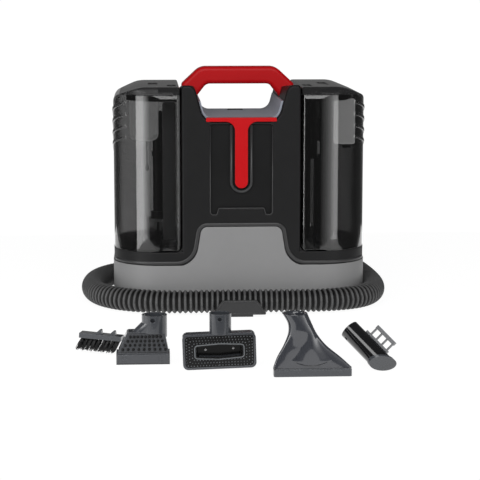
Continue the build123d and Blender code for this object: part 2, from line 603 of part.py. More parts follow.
def clean_tank_parts(tank, lid, seal, inner):
    """The clean water tank on the left with its valve, pickup tube and measuring cup."""
    flip = Plane.YZ
    tank, lid, seal, inner = (mirror(shape, about=flip) for shape in (tank, lid, seal, inner))
    floor = TANK_BOTTOM + TANK_WALL
    tank -= rod(VALVE_X, VALVE_Y, TANK_BOTTOM - 1, floor + 1, VALVE_NECK + FIT)
    seat = floor + 4
    valve = rod(VALVE_X, VALVE_Y, floor, VALVE_TOP, VALVE_RADIUS)
    valve += rod(VALVE_X, VALVE_Y, TANK_BOTTOM + FIT, floor, VALVE_NECK)
    valve -= rod(VALVE_X, VALVE_Y, TANK_BOTTOM, seat, POPPET_STEM + 0.5)
    valve -= rod(VALVE_X, VALVE_Y, seat, VALVE_TOP, 2 * POPPET_STEM)
    for turn in (0, 90):
        valve -= Pos(VALVE_X, VALVE_Y, seat + 8) * Rot(0, 90, turn) * Cylinder(2.5, 3 * VALVE_RADIUS)
    poppet = rod(VALVE_X, VALVE_Y, seat + FIT, seat + 3, 2 * POPPET_STEM - 0.5)
    poppet += rod(VALVE_X, VALVE_Y, TANK_BOTTOM + 1.5, seat + FIT, POPPET_STEM)
    poppet += rod(VALVE_X, VALVE_Y, seat + 3, seat + 16, 2)
    pickup = tube(VALVE_X, VALVE_Y, VALVE_TOP, TUBE_TOP, TUBE_RADIUS, TUBE_RADIUS - 1.6)
    pickup += tube(VALVE_X, VALVE_Y, VALVE_TOP, VALVE_TOP + 9, TUBE_RADIUS + 3, TUBE_RADIUS)
    pickup += tube(VALVE_X, VALVE_Y, TUBE_TOP - 60, TUBE_TOP - 54, TUBE_RADIUS + 1.5, TUBE_RADIUS)
    cup = rod(CUP_X, CUP_Y, CUP_BOTTOM, TANK_TOP, CUP_RADIUS)
    cup = fillet(cup.edges().sort_by(Axis.Z)[0], 9)
    cup -= rod(CUP_X, CUP_Y, CUP_BOTTOM + 9, TANK_TOP + 1, CUP_RADIUS - 1.6)
    cup -= Pos(CUP_X, CUP_Y, CUP_BOTTOM + 9) * Cylinder(7, 14)
    return {
        "clean_tank": tank,
        "clean_tank_lid": lid,
        "clean_tank_seal": seal,
        "clean_valve": valve,
        "valve_poppet": poppet,
        "pickup_tube": pickup,
        "measuring_cup": cup & inner,
    }


def dirty_tank_parts(tank, lid, seal, inner):
    """The dirty water tank on the right with its inlet duct, baffle, float and cage."""
    floor = TANK_BOTTOM + TANK_WALL
    tank -= rod(DUCT_X, DUCT_Y, TANK_BOTTOM - 1, floor + 1, DUCT_NECK + FIT)
    tank -= Pos(TANK_INNER, PORT_Y, PORT_Z) * Rot(0, 90, 0) * Cylinder(PORT_RADIUS, 4 * TANK_WALL)
    side = DUCT_SIDE / 2
    duct = box(DUCT_X - side, DUCT_X + side, DUCT_Y - side, DUCT_Y + side, floor, DUCT_TOP)
    duct -= box(DUCT_X - side + 1.8, DUCT_X + side - 1.8, DUCT_Y - side + 1.8, DUCT_Y + side - 1.8,
                floor + 2, DUCT_TOP)
    duct -= Pos(DUCT_X - side, DUCT_Y, DUCT_TOP + 6) * Rot(0, -28, 0) * Box(60, 40, 14)
    duct += rod(DUCT_X, DUCT_Y, TANK_BOTTOM + FIT, floor, DUCT_NECK)
    duct -= rod(DUCT_X, DUCT_Y, TANK_BOTTOM, floor + 3, DUCT_NECK - 1.8)
    hook = BAFFLE_X + BAFFLE_REACH
    baffle = box(BAFFLE_X, BAFFLE_X + 2, -50, 40, BAFFLE_BOTTOM, TANK_TOP)
    baffle += box(BAFFLE_X, hook, -50, 40, BAFFLE_BOTTOM, BAFFLE_BOTTOM + 2)
    baffle += box(hook - 2, hook, -50, 40, BAFFLE_BOTTOM, BAFFLE_BOTTOM + 7)
    cage = tube(CAGE_X, CAGE_Y, CAGE_BOTTOM, TANK_TOP, CAGE_RADIUS, CAGE_RADIUS - 1.4)
    cage += tube(CAGE_X, CAGE_Y, CAGE_BOTTOM, CAGE_BOTTOM + 2, CAGE_RADIUS, CAGE_RADIUS - 4)
    for turn in (45, 135):
        cage -= Pos(CAGE_X, CAGE_Y, CAGE_BOTTOM + 30) * Rot(0, 0, turn) * Box(40, 7, 48)
    ball_low = CAGE_BOTTOM + 2 + FIT
    ball = rod(CAGE_X, CAGE_Y, ball_low, ball_low + FLOAT_HEIGHT, FLOAT_RADIUS)
    ball = fillet(ball.edges().filter_by(GeomType.CIRCLE), 2)
    return {
        "dirty_tank": tank,
        "dirty_tank_lid": lid,
        "dirty_tank_seal": seal,
        "inlet_duct": duct,
        "float_cage_and_baffle": Compound(children=[cage & inner, baffle & inner]),
        "shutoff_float": ball,
    }


# ------------------------------------------------------------------ motor, fan, pump, ducts


def drive_parts():
    """Motor, fan and pump with what carries and joins them, inside the covers."""
    floor = FOOT_HEIGHT + PAN_THICK
    can = rod(0, MOTOR_Y, MOTOR_BOTTOM, MOTOR_TOP, MOTOR_RADIUS)
    can -= rod(0, MOTOR_Y, MOTOR_BOTTOM + WALL, MOTOR_TOP - WALL, MOTOR_RADIUS - WALL)
    can -= rod(0, MOTOR_Y, MOTOR_BOTTOM, MOTOR_TOP, SHAFT_RADIUS + RUNNING)
    housing = rod(0, MOTOR_Y, MOTOR_TOP, FAN_TOP, FAN_RADIUS)
    housing -= rod(0, MOTOR_Y, MOTOR_TOP + WALL, FAN_TOP - WALL, FAN_RADIUS - WALL)
    housing -= rod(0, MOTOR_Y, MOTOR_TOP, MOTOR_TOP + WALL, 10)
    housing -= rod(0, MOTOR_Y, FAN_TOP - WALL, FAN_TOP, 16)
    housing -= box(-14, 14, MOTOR_Y + 40, MOTOR_Y + 60, MOTOR_TOP + 6, FAN_TOP - 6)
    armature = rod(0, MOTOR_Y, MOTOR_BOTTOM + 1, FAN_TOP - 6, SHAFT_RADIUS)
    armature += rod(0, MOTOR_Y, MOTOR_BOTTOM + 12, MOTOR_TOP - 12, MOTOR_RADIUS - 18)
    disc_low = MOTOR_TOP + WALL + 3
    impeller = rod(0, MOTOR_Y, disc_low, disc_low + 2, FAN_RADIUS - 8)
    impeller += rod(0, MOTOR_Y, disc_low, disc_low + 14, 9)
    for k in range(8):
        blade = Pos(0, MOTOR_Y, disc_low + 8) * Rot(0, 0, 45 * k) * Pos(29, 0, 0) * Box(36, 1.6, 12)
        impeller += blade
    duct = box(-22, COLUMN_HALF - WALL - FIT, MOTOR_Y - 18, MOTOR_Y + 18, FAN_TOP, FAN_TOP + 26)
    duct -= box(-20, COLUMN_HALF, MOTOR_Y - 16, MOTOR_Y + 16, FAN_TOP + 2, FAN_TOP + 24)
    duct -= rod(0, MOTOR_Y, FAN_TOP, FAN_TOP + 2, 16)
    pump = box(PUMP_X - 28, PUMP_X + 28, PUMP_Y - 20, PUMP_Y + 18, floor, PUMP_TOP)
    pump = fillet(pump.edges().filter_by(Axis.Z), 6)
    cup_low = BAND_TOP - 13
    seat = rod(VALVE_X, VALVE_Y, cup_low, BAND_TOP, 11.7) - rod(VALVE_X, VALVE_Y, cup_low + 2, BAND_TOP, 8)
    seat += rod(VALVE_X, VALVE_Y, cup_low, BAND_TOP + 1.2, 2)
    seat += tube(VALVE_X, VALVE_Y, BAND_TOP - 2 * WALL, BAND_TOP - WALL, 16, 11)
    return {
        "motor_can": can,
        "fan_housing": housing,
        "fan_rotor": armature + impeller,
        "suction_duct": duct,
        "pump_body": pump,
        "valve_seat_and_tube": Compound(children=[seat, solution_tube(cup_low)]),
        "dirt_duct": dirt_duct(),
    }


def solution_tube(top):
    """The thin tube from the clean tank's seat to the pump."""
    points = [(VALVE_X, VALVE_Y, top), (VALVE_X, VALVE_Y, PUMP_TOP + 8),
              (VALVE_X, PUMP_Y, PUMP_TOP + 8), (PUMP_X, PUMP_Y, PUMP_TOP)]
    path = FilletPolyline(*points, radius=5)
    return sweep(Plane(origin=points[0], z_dir=(0, 0, -1)) * Circle(3), path=path)


def dirt_duct():
    """The duct inside the base from the hose port to the dirty tank."""
    back = BASE_DEPTH / 2 - WALL - 1
    lane = 74.0
    points = [(PORT_X, back, HOSE_PORT_Z), (PORT_X, lane, HOSE_PORT_Z), (DUCT_X, lane, HOSE_PORT_Z),
              (DUCT_X, DUCT_Y, HOSE_PORT_Z), (DUCT_X, DUCT_Y, BAND_TOP)]
    path = FilletPolyline(*points, radius=14)
    start = Plane(origin=points[0], z_dir=(0, -1, 0))
    return sweep(start * Circle(ELBOW_RADIUS), path=path) - sweep(start * Circle(ELBOW_RADIUS - 2), path=path)


# ------------------------------------------------------------------ hose


def corner_radii(points):
    """For each corner, 0.45 of the shorter run over the tangent of half the turn."""
    radii = []
    for before, corner, after in zip(points, points[1:], points[2:]):
        arrive = Vector(*corner) - Vector(*before)
        leave = Vector(*after) - Vector(*corner)
        turn = math.radians(arrive.get_angle(leave))
        radii.append(0.45 * min(arrive.length, leave.length) / math.tan(turn / 2))
    return radii


def hose_parts():
    """The hose, its elbow on the base and the cuff between them."""
    radii = corner_radii(HOSE_POINTS)
    print("hose corner radii", [round(r) for r in radii])
    path = FilletPolyline(*HOSE_POINTS, radius=radii)
    start = Vector(*HOSE_POINTS[0])
    heading = Vector(*HOSE_POINTS[1]) - start
    section = Plane(origin=start, z_dir=heading)
    hose = sweep(section * Circle(HOSE_RADIUS), path=path)
    hose -= sweep(section * Circle(HOSE_BORE), path=path)
    area = math.pi * (HOSE_RADIUS**2 - HOSE_BORE**2)
    print("hose length", round(path.length, 1), "volume ratio", round(hose.volume / area / path.length, 5))
    mouth = Plane(origin=start, z_dir=-heading)
    cuff = mouth * Pos(0, 0, CUFF_LENGTH / 2) * (
        Cylinder(CUFF_RADIUS, CUFF_LENGTH) - Cylinder(ELBOW_RADIUS - 2, CUFF_LENGTH))
    for k in range(3):
        ring = Pos(0, 0, 4 + 4.5 * k) * (Cylinder(CUFF_RADIUS + 1, 1.6) - Cylinder(CUFF_RADIUS - 1, 1.6))
        cuff -= mouth * ring
    cuff_end = HOSE_START[0] + CUFF_LENGTH
    back = BASE_DEPTH / 2 - WALL - 1
    block = box(cuff_end - 2, PORT_X + 16, HOSE_START[1] - 16, HOSE_START[1] + 16, 3, 37)
    block = fillet(block.edges(), 5)
    block += Pos(PORT_X, (back + HOSE_START[1]) / 2, HOSE_PORT_Z) * Rot(90, 0, 0) * Cylinder(
        ELBOW_RADIUS, HOSE_START[1] - back)
    block -= Pos(PORT_X, (back + HOSE_START[1]) / 2, HOSE_PORT_Z) * Rot(90, 0, 0) * Cylinder(
        ELBOW_RADIUS - 2, HOSE_START[1] - back)
    block -= mouth * Pos(0, 0, CUFF_LENGTH / 2 + 12) * Cylinder(ELBOW_RADIUS - 2, CUFF_LENGTH + 24)
    block -= mouth * Pos(0, 0, CUFF_LENGTH - 20) * Cylinder(CUFF_RADIUS + 3, 40)
    return {"hose": hose, "hose_cuff_machine": cuff, "hose_port": block}


# ------------------------------------------------------------------ wand


def wand_place():
    """The wand's own frame: Z along it away from the hose, Y to the back."""
    return Plane(origin=WAND_FOOT, x_dir=(1, 0, 1), z_dir=(-1, 0, 1)).location


def lying_y(x, z, half_length, radius):
    """A cylinder along Y at a place in X and Z."""
    return Pos(x, 0, z) * Rot(90, 0, 0) * Cylinder(radius, 2 * half_length)


def wand_parts():
    """The spray wand, parked aslant on the rear cover, with its trigger, latch and holder."""
    body = rod(0, 0, CUFF_WAND, GRIP_END + 4, GRIP_RADIUS)
    head = rod(0, 0, GRIP_END, HEAD_END, HEAD_RADIUS)
    body += fillet(head.edges().filter_by(GeomType.CIRCLE), 4)
    body += rod(0, 0, HEAD_END, NOSE_END, NOSE_RADIUS)
    body -= rod(0, 0, CUFF_WAND, NOSE_END, BORE_RADIUS)
    pocket_half = TRIGGER_HALF + FIT
    body -= box(-HEAD_RADIUS - 1, -11, -pocket_half, pocket_half, GRIP_END - 1, PIVOT_Z + 8)
    body -= box(-HEAD_RADIUS - 1, -13, -pocket_half, pocket_half, GRIP_END - 14, GRIP_END - 1)
    body -= lying_y(PIVOT_X, PIVOT_Z, HEAD_RADIUS, PIN_RADIUS + 0.05)
    body -= Pos((HEAD_RADIUS + 11) / 2 + 1, 0, LATCH_Z) * Rot(0, 90, 0) * Cylinder(
        LATCH_RADIUS + FIT, HEAD_RADIUS - 9)
    reach = Vector(TRIGGER_TIP_X - PIVOT_X, 0, TRIGGER_TIP_Z - PIVOT_Z)
    middle = Pos((PIVOT_X + TRIGGER_TIP_X) / 2, 0, (PIVOT_Z + TRIGGER_TIP_Z) / 2)
    lean = math.degrees(math.atan2(reach.X, reach.Z)) + 180
    lever = middle * Rot(0, lean, 0) * Box(6, 2 * TRIGGER_HALF, reach.length)
    lever += lying_y(PIVOT_X, PIVOT_Z, TRIGGER_HALF, 3.6)
    lever += lying_y(TRIGGER_TIP_X, TRIGGER_TIP_Z, TRIGGER_HALF, 3.6)
    lever -= lying_y(PIVOT_X, PIVOT_Z, TRIGGER_HALF, PIN_RADIUS + RUNNING)
    pin = lying_y(PIVOT_X, PIVOT_Z, 8.2, PIN_RADIUS)
    latch_low, latch_high = 11 + LATCH_TRAVEL + FIT, HEAD_RADIUS + LATCH_TRAVEL
    latch = Pos((latch_low + latch_high) / 2, 0, LATCH_Z) * Rot(0, 90, 0) * Cylinder(
        LATCH_RADIUS, latch_high - latch_low)
    latch = fillet(latch.edges().sort_by(Axis.X)[-1], 1.5)
    tip = rod(-NOSE_RADIUS - 4, 0, HEAD_END, HEAD_END + 7, 3) - rod(
        -NOSE_RADIUS - 4, 0, HEAD_END + 2, HEAD_END + 7, 1)
    cuff = tube(0, 0, 0, CUFF_WAND, CUFF_RADIUS, BORE_RADIUS)
    for k in range(3):
        cuff -= tube(0, 0, 4 + 5 * k, 6 + 5 * k, CUFF_RADIUS + 1, CUFF_RADIUS - 1)
    reach_back = WAND_FOOT[1] - (BASE_DEPTH / 2 - BAND_INSET)
    holder = tube(0, 0, HOLDER_LOW, HOLDER_HIGH, GRIP_RADIUS + FIT + 3, GRIP_RADIUS + FIT)
    holder -= box(-30, 30, 7, 30, HOLDER_LOW, HOLDER_HIGH)
    post = box(-7, 7, -reach_back, -GRIP_RADIUS - 1.5, HOLDER_LOW, HOLDER_HIGH)
    foot = box(-16, 16, -reach_back, -reach_back + 3, HOLDER_LOW - 6, HOLDER_HIGH + 6)
    pieces = {
        "wand_body": body,
        "wand_trigger": lever,
        "trigger_pin": pin,
        "wand_latch_button": latch,
        "wand_spray_tip": tip,
        "hose_cuff_wand": cuff,
        "wand_holder": holder + post + foot,
    }
    place = wand_place()
    return {name: place * piece for name, piece in pieces.items()}


# ------------------------------------------------------------------ loose tools


def bristle_insert_parts():
    """The brush strip: a thin bar with two clips above and slanted tufts below."""
    bar_low, bar_high, half = 17.5, 23.0, 24.5
    bar = box(-half, half, -7, 7, bar_low, bar_high)
    for x in (-2.0, 14.0):
        wedge = outline([(x - 5, bar_high), (x + 3, bar_high), (x + 2, bar_high + 5), (x, bar_high + 5)],
                        [0, 0, 0.8, 0.8])
        bar += fronted(wedge, 3, -3)
    tufts = []
    for row in range(3):
        for column in range(9):
            foot = Vector(-26.5 + 5.1 * column, -6 + 4.5 * row, 2.0)
            root = Vector(-20.5 + 5.1 * column, -4.5 + 4.5 * row, bar_low)
            length = (root - foot).length
            along = Plane(origin=root, z_dir=foot - root)
            tuft = along * Pos(0, 0, length / 2) * Cylinder(1.9, length)
            tufts.append(tuft & box(-60, 60, -30, 30, 0, bar_low))
    place = Pos(INSERT_AT[0], INSERT_AT[1], 0) * Rot(0, 3.5, -14)
    return {
        "bristle_insert": place * bar,
        "bristle_tufts": Compound(children=[place * tuft for tuft in tufts]),
    }


def brush_tool_parts():
    """The rubber-nub tool: a round neck, a wedge head, a nub pad and a suction bar."""
    head_outline = outline([(-28, 13), (28.5, 13), (24, 36), (-17.4, 36)], [1.5, 1.5, 3, 3])
    head = fronted(head_outline, 12, -8)
    head += box(-29.5, 29.5, -10, 12, 0.3, 13)
    neck_x, neck_y = 12.7, 1.0
    head += rod(neck_x, neck_y, 30, 54.5, 14)
    shoulder = loft([Pos(neck_x, neck_y, 46) * Circle(14), Pos(4, 2, 30) * RectangleRounded(42, 19, 8)])
    head += shoulder
    head -= rod(neck_x, neck_y, 40, 54.5, SOCKET_BORE)
    head -= Pos(neck_x - 2, neck_y - 12, 50.0) * Rot(90, 0, 0) * Cylinder(2.6, 8)
    head -= box(-25, 25, -7, 7, 0.3, 5.5)
    pad_outline = outline([(-26.5, 14.5), (27, 14.5), (22.8, 34.5), (-16.2, 34.5)], [1, 1, 2, 2])
    head -= fronted(offset(pad_outline, amount=FIT), -8, -20)
    pad = fronted(pad_outline, -8, -10)
    for row in range(4):
        z = 17.5 + 4.7 * row
        spread = 23.5 - 2.3 * row
        for column in range(9):
            x = 1.2 + 0.55 * row + spread * (column - 4) / 4
            pad += Pos(x, -10.6, z) * Rot(90, 0, 0) * Cylinder(1.3, 1.6)
    bar = box(-28.5, 28.5, -12.5, -10, 2.5, 12)
    bar = fillet(bar.edges().filter_by(Axis.Z), 1)
    screws = []
    for x in (-20.5, 19):
        bar -= Pos(x, -12.5, 7) * Rot(90, 0, 0) * Cylinder(2.4, 2.4)
        bar -= Pos(x, -11, 7) * Rot(90, 0, 0) * Cylinder(1.3, 6)
        head -= Pos(x, -8.5, 7) * Rot(90, 0, 0) * Cylinder(1.3, 5)
        shank = Pos(x, -9, 7) * Rot(90, 0, 0) * Cylinder(1.2, 4.6)
        screws.append(shank + Pos(x, -11.9, 7) * Rot(90, 0, 0) * Cylinder(2.1, 1.2))
    place = Pos(BRUSH_AT[0], BRUSH_AT[1], 0)
    return {
        "brush_tool_body": place * head,
        "brush_tool_pad": place * pad,
        "brush_tool_bar": Compound(children=[place * piece for piece in [bar] + screws]),
    }


def pet_tool_parts():
    """The pet hair tool: a round-cornered plate with a nub border and a barrel slot."""
    half_w, half_h, mid = 40.0, 19.6, 21.0
    plate = Pos(0, mid) * RectangleRounded(2 * half_w, 2 * half_h, 6)
    body = fronted(plate, 8, -6)
    body -= fronted(Pos(0, mid) * RectangleRounded(2 * half_w - 5, 2 * half_h - 5, 4), -4, -6)
    body = Pos(0, 0, mid) * Rot(0, -1.8, 0) * Pos(0, 0, -mid) * body
    neck_x, neck_y = 1.2, 2.0
    body += rod(neck_x, neck_y, mid + half_h - 1.2, 62, 12) - rod(neck_x, neck_y, 46, 62, SOCKET_BORE)
    body -= Pos(neck_x - 1, neck_y - 11, 57) * Rot(90, 0, 0) * Cylinder(2.4, 6)
    slot = outline([(-25, mid - 5.5), (0, mid - 7), (25, mid - 5.5), (25, mid + 5.5), (0, mid + 7),
                    (-25, mid + 5.5)], [2, 30, 2, 2, 30, 2])
    tilt = Pos(0, 0, mid) * Rot(0, -1.8, 0) * Pos(0, 0, -mid)
    body -= tilt * fronted(slot, 5.5, -7)
    body -= rod(neck_x, neck_y, 27, 47, 3.2)
    pad_face = Pos(0, mid) * RectangleRounded(2 * half_w - 5 - 2 * FIT, 2 * half_h - 5 - 2 * FIT, 3.7)
    hole = offset(slot, amount=2.2)
    pad = fronted(pad_face, -4, -5.6) - fronted(hole, -4, -6)
    pad += fronted(hole, -4, -7.4) - fronted(slot, -4, -8)
    for row in range(3):
        border = 4.2 + 3.1 * row
        width, height = 2 * (half_w - border), 2 * (half_h - border)
        along, up = 22 - row * 2, max(4, 10 - 3 * row)
        for k in range(along):
            x = width * (k / (along - 1) - 0.5)
            for sign in (-1, 1):
                z = mid + sign * height / 2
                if abs(z - mid) > 9.4 or abs(x) > 29:
                    pad += Pos(x, -5.9, z) * Rot(90, 0, 0) * Cylinder(0.7, 1.0)
        for k in range(1, up - 1):
            z = mid + height * (k / (up - 1) - 0.5)
            for sign in (-1, 1):
                pad += Pos(sign * width / 2, -5.9, z) * Rot(90, 0, 0) * Cylinder(0.7, 1.0)
    place = Pos(PET_AT[0], PET_AT[1], 0)
    return {"pet_tool_body": place * body, "pet_tool_pad": place * tilt * pad}


def nozzle_form(inset, cut):
    """The flared nozzle as a loft through rounded sections, from the neck down to its mouth.

    Each section is (X, Y, Z, width, depth, squareness). A squareness of 2 is an ellipse, and
    the more it is, the nearer the section comes to a rectangle.
    """
    sections = [
        (-18.5, 5.0, 67.5, 27.0, 27.0, 2.0),
        (-13.0, 3.0, 56.0, 26.0, 26.0, 2.0),
        (-10.3, 1.5, 45.0, 31.5, 23.0, 2.2),
        (-8.0, 0.0, 33.5, 45.0, 21.0, 2.5),
        (-3.2, 0.0, 19.0, 70.0, 19.5, 3.0),
        (0.6, 0.0, cut, 85.0, 18.5, 4.0),
    ]
    faces = []
    for x, y, z, width, depth, squareness in sections:
        points = []
        for k in range(20):
            turn = math.radians(18 * k)
            across, along = math.cos(turn), math.sin(turn)
            points.append((
                (width / 2 - inset) * math.copysign(abs(across) ** (2 / squareness), across),
                (depth / 2 - inset) * math.copysign(abs(along) ** (2 / squareness), along)))
        faces.append(Pos(x, y, z) * make_face(Spline(*points, periodic=True)))
    return loft(faces)


def nozzle_parts():
    """The upholstery nozzle and the lip along its mouth."""
    body = nozzle_form(0, 8.6) - nozzle_form(2.2, 8.6)
    lip = box(-41.5, 42.5, -8.5, 8.5, 0.3, 7.6)
    lip = fillet(lip.edges().filter_by(Axis.Z), 3)
    lip += box(-39.0, 40.0, -6.5, 6.5, 7.6, 8.6)
    lip -= box(-37.5, 38.5, -5, 5, 0.3, 8.6)
    place = Pos(NOZZLE_AT[0], NOZZLE_AT[1], 0)
    return {"upholstery_tool_body": place * body, "upholstery_tool_lip": place * lip}


def rinse_cap_parts():
    """The hose rinse cap: a leaning barrel with an oblique end and a ladder bracket."""
    barrel_radius, length = 11.0, 52.0
    axis = Vector(0.6, -0.55, -0.58).normalized()
    end_normal = Vector(0.0, -0.8, -0.6).normalized()
    end = Vector(*RINSE_AT)
    frame = Plane(origin=end - axis * length, z_dir=axis, x_dir=Vector(0.72, 0.0, 0.69).cross(axis).cross(axis))
    barrel = frame * Pos(0, 0, (length + 25) / 2) * Cylinder(barrel_radius, length + 25)
    bore = frame * Pos(0, 0, (length - 10) / 2) * Cylinder(barrel_radius - 1.8, length - 10)
    keep = Plane(origin=end, z_dir=end_normal) * Pos(0, 0, -100) * Box(200, 200, 200)
    barrel = (barrel & keep) - bore
    barrel -= frame * Pos(0, 0, 7) * Rot(0, 0, 60) * Rot(90, 0, 0) * Cylinder(1.8, 60)
    disc = frame * Pos(0, 0, (length + 25) / 2) * Cylinder(barrel_radius + 0.9, length + 25)
    plate = Plane(origin=end, z_dir=end_normal) * Pos(0, 0, 1.2) * Box(200, 200, 2.4)
    side = -1 if frame.x_dir.X < 0 else 1
    rail = Pos(side * (barrel_radius + 1.35), 0, 33) * Box(2.6, 4, 34)
    ladder = Pos(side * (barrel_radius + 12.8), 0, 35) * Box(4.2, 5, 28)
    for k in range(4):
        ladder += Pos(side * (barrel_radius + 6.7), 0, 22 + 8.5 * k) * Box(10, 3, 1.6)
    return {
        "rinse_cap": barrel,
        "rinse_cap_disc": disc & plate,
        "rinse_cap_bracket": frame * (rail + ladder),
    }


# ------------------------------------------------------------------ all together


def machine():
    """Every node of the product, by name."""
    tank, lid, seal, inner = tank_pair()
    nodes = {}
    for group in (
        base_parts(),
        cover_parts(),
        deck_parts(),
        handle_parts(),
        clean_tank_parts(tank, lid, seal, inner),
        dirty_tank_parts(tank, lid, seal, inner),
        drive_parts(),
        hose_parts(),
        wand_parts(),
        bristle_insert_parts(),
        brush_tool_parts(),
        pet_tool_parts(),
        nozzle_parts(),
        rinse_cap_parts(),
    ):
        nodes.update(group)
    return nodes


os.makedirs("parts", exist_ok=True)
for name, shape in machine().items():
    export_step(shape, f"parts/{name}.step")
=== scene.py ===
"""Looks of a portable carpet and upholstery cleaner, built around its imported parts.

Metres. +X is to the machine's right seen from the front, +Y is to the back, +Z is up.
"""

from __future__ import annotations

import json
import logging
import math
from dataclasses import dataclass, field
from enum import Enum

import bmesh
import bpy
import numpy as np
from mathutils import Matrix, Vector

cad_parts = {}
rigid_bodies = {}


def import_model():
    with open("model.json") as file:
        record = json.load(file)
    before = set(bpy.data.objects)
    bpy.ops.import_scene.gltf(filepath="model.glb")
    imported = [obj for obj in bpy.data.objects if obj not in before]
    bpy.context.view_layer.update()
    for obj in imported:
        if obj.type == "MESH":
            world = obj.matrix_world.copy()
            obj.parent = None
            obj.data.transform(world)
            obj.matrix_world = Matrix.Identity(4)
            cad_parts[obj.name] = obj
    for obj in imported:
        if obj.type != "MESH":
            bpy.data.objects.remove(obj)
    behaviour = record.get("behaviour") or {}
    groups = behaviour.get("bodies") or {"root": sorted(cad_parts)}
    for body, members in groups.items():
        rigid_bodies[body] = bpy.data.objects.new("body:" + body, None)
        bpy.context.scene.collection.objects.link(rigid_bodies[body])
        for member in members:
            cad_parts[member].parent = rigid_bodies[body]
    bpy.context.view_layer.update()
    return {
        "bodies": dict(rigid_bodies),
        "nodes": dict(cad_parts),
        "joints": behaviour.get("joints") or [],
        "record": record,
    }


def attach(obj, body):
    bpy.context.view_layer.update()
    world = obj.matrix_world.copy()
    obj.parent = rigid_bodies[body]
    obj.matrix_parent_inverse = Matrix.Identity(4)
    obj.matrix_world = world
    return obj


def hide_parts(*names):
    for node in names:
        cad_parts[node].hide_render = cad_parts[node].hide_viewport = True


MM = 0.001
LOG = logging.getLogger("cleaner")
Colour = tuple[float, float, float]


class Ends(Enum):
    """How the two ends of a tube-like surface are finished."""

    OPEN = "open"
    FLAT = "flat"


class Side(Enum):
    """A side of the machine, as the sign of its X."""

    CLEAN = -1
    DIRTY = 1


# ---------------------------------------------------------------- shader helpers


class Desk:
    """The node tree of one material or world, and the one call that adds a node to it."""

    def __init__(self, owner: bpy.types.Material | bpy.types.World) -> None:
        """Empty the owner's node tree.

        Args:
            owner: A new material or world.
        """
        owner.use_nodes = True
        self.owner, self.tree = owner, owner.node_tree
        self.tree.nodes.clear()

    def node(self, kind: str, settings: dict | None = None, sockets: dict | None = None) -> bpy.types.Node:
        """Add a node, set it, then fill its sockets.

        Args:
            kind: The node's type, such as "ShaderNodeBump".
            settings: Its properties; "stops" is a colour ramp's list of (place, colour).
            sockets: Values, sockets or Numbers for its inputs, by name or index.

        Returns:
            The new node.
        """
        made = self.tree.nodes.new(kind)
        for key, value in (settings or {}).items():
            if key == "stops":
                ramp = made.color_ramp.elements
                while len(ramp) < len(value):
                    ramp.new(1.0)
                for stop, (place, colour) in zip(ramp, value):
                    stop.position, stop.color = place, (*colour, 1.0)
            else:
                setattr(made, key, value)
        for key, value in (sockets or {}).items():
            self.feed(made.inputs[key], value)
        return made

    def feed(self, socket: bpy.types.NodeSocket, value: object) -> None:
        """Link a socket or a Number into an input, or set the input's own value."""
        source = value.socket if isinstance(value, Number) else value
        if isinstance(source, bpy.types.NodeSocket):
            self.tree.links.new(source, socket)
        else:
            socket.default_value = source

    def number(self, node: bpy.types.Node, output: str | int = 0) -> Number:
        """Wrap a node's output so that it can be used in an expression."""
        return Number(self, node.outputs[output])

    def finish(self, shader: bpy.types.Node, output: str = "ShaderNodeOutputMaterial") -> bpy.types.ID:
        """Send a shader to the tree's output and return the material or world."""
        self.node(output, {}, {"Surface": shader.outputs[0]})
        return self.owner


class Number:
    """A number in a material, whose arithmetic adds Math nodes."""

    def __init__(self, desk: Desk, socket: bpy.types.NodeSocket) -> None:
        """Wrap one output socket of the desk's tree."""
        self.desk, self.socket = desk, socket

    def _math(self, operation: str, *values: object) -> Number:
        """Add one Math node over the given values and wrap its result."""
        made = self.desk.node("ShaderNodeMath", {"operation": operation}, dict(enumerate(values)))
        return self.desk.number(made)

    def __add__(self, other: object) -> Number:
        """Sum."""
        return self._math("ADD", self, other)

    __radd__ = __add__

    def __sub__(self, other: object) -> Number:
        """Difference."""
        return self._math("SUBTRACT", self, other)

    def __rsub__(self, other: object) -> Number:
        """Difference with the number on the right."""
        return self._math("SUBTRACT", other, self)

    def __mul__(self, other: object) -> Number:
        """Product."""
        return self._math("MULTIPLY", self, other)

    __rmul__ = __mul__

    def between(self, low: float, high: float) -> Number:
        """The number rescaled so that low gives 0 and high gives 1, held to that range."""
        made = self.desk.node("ShaderNodeMapRange", {"clamp": True, "interpolation_type": "SMOOTHSTEP"},
                              {"Value": self, "From Min": low, "From Max": high})
        return self.desk.number(made)


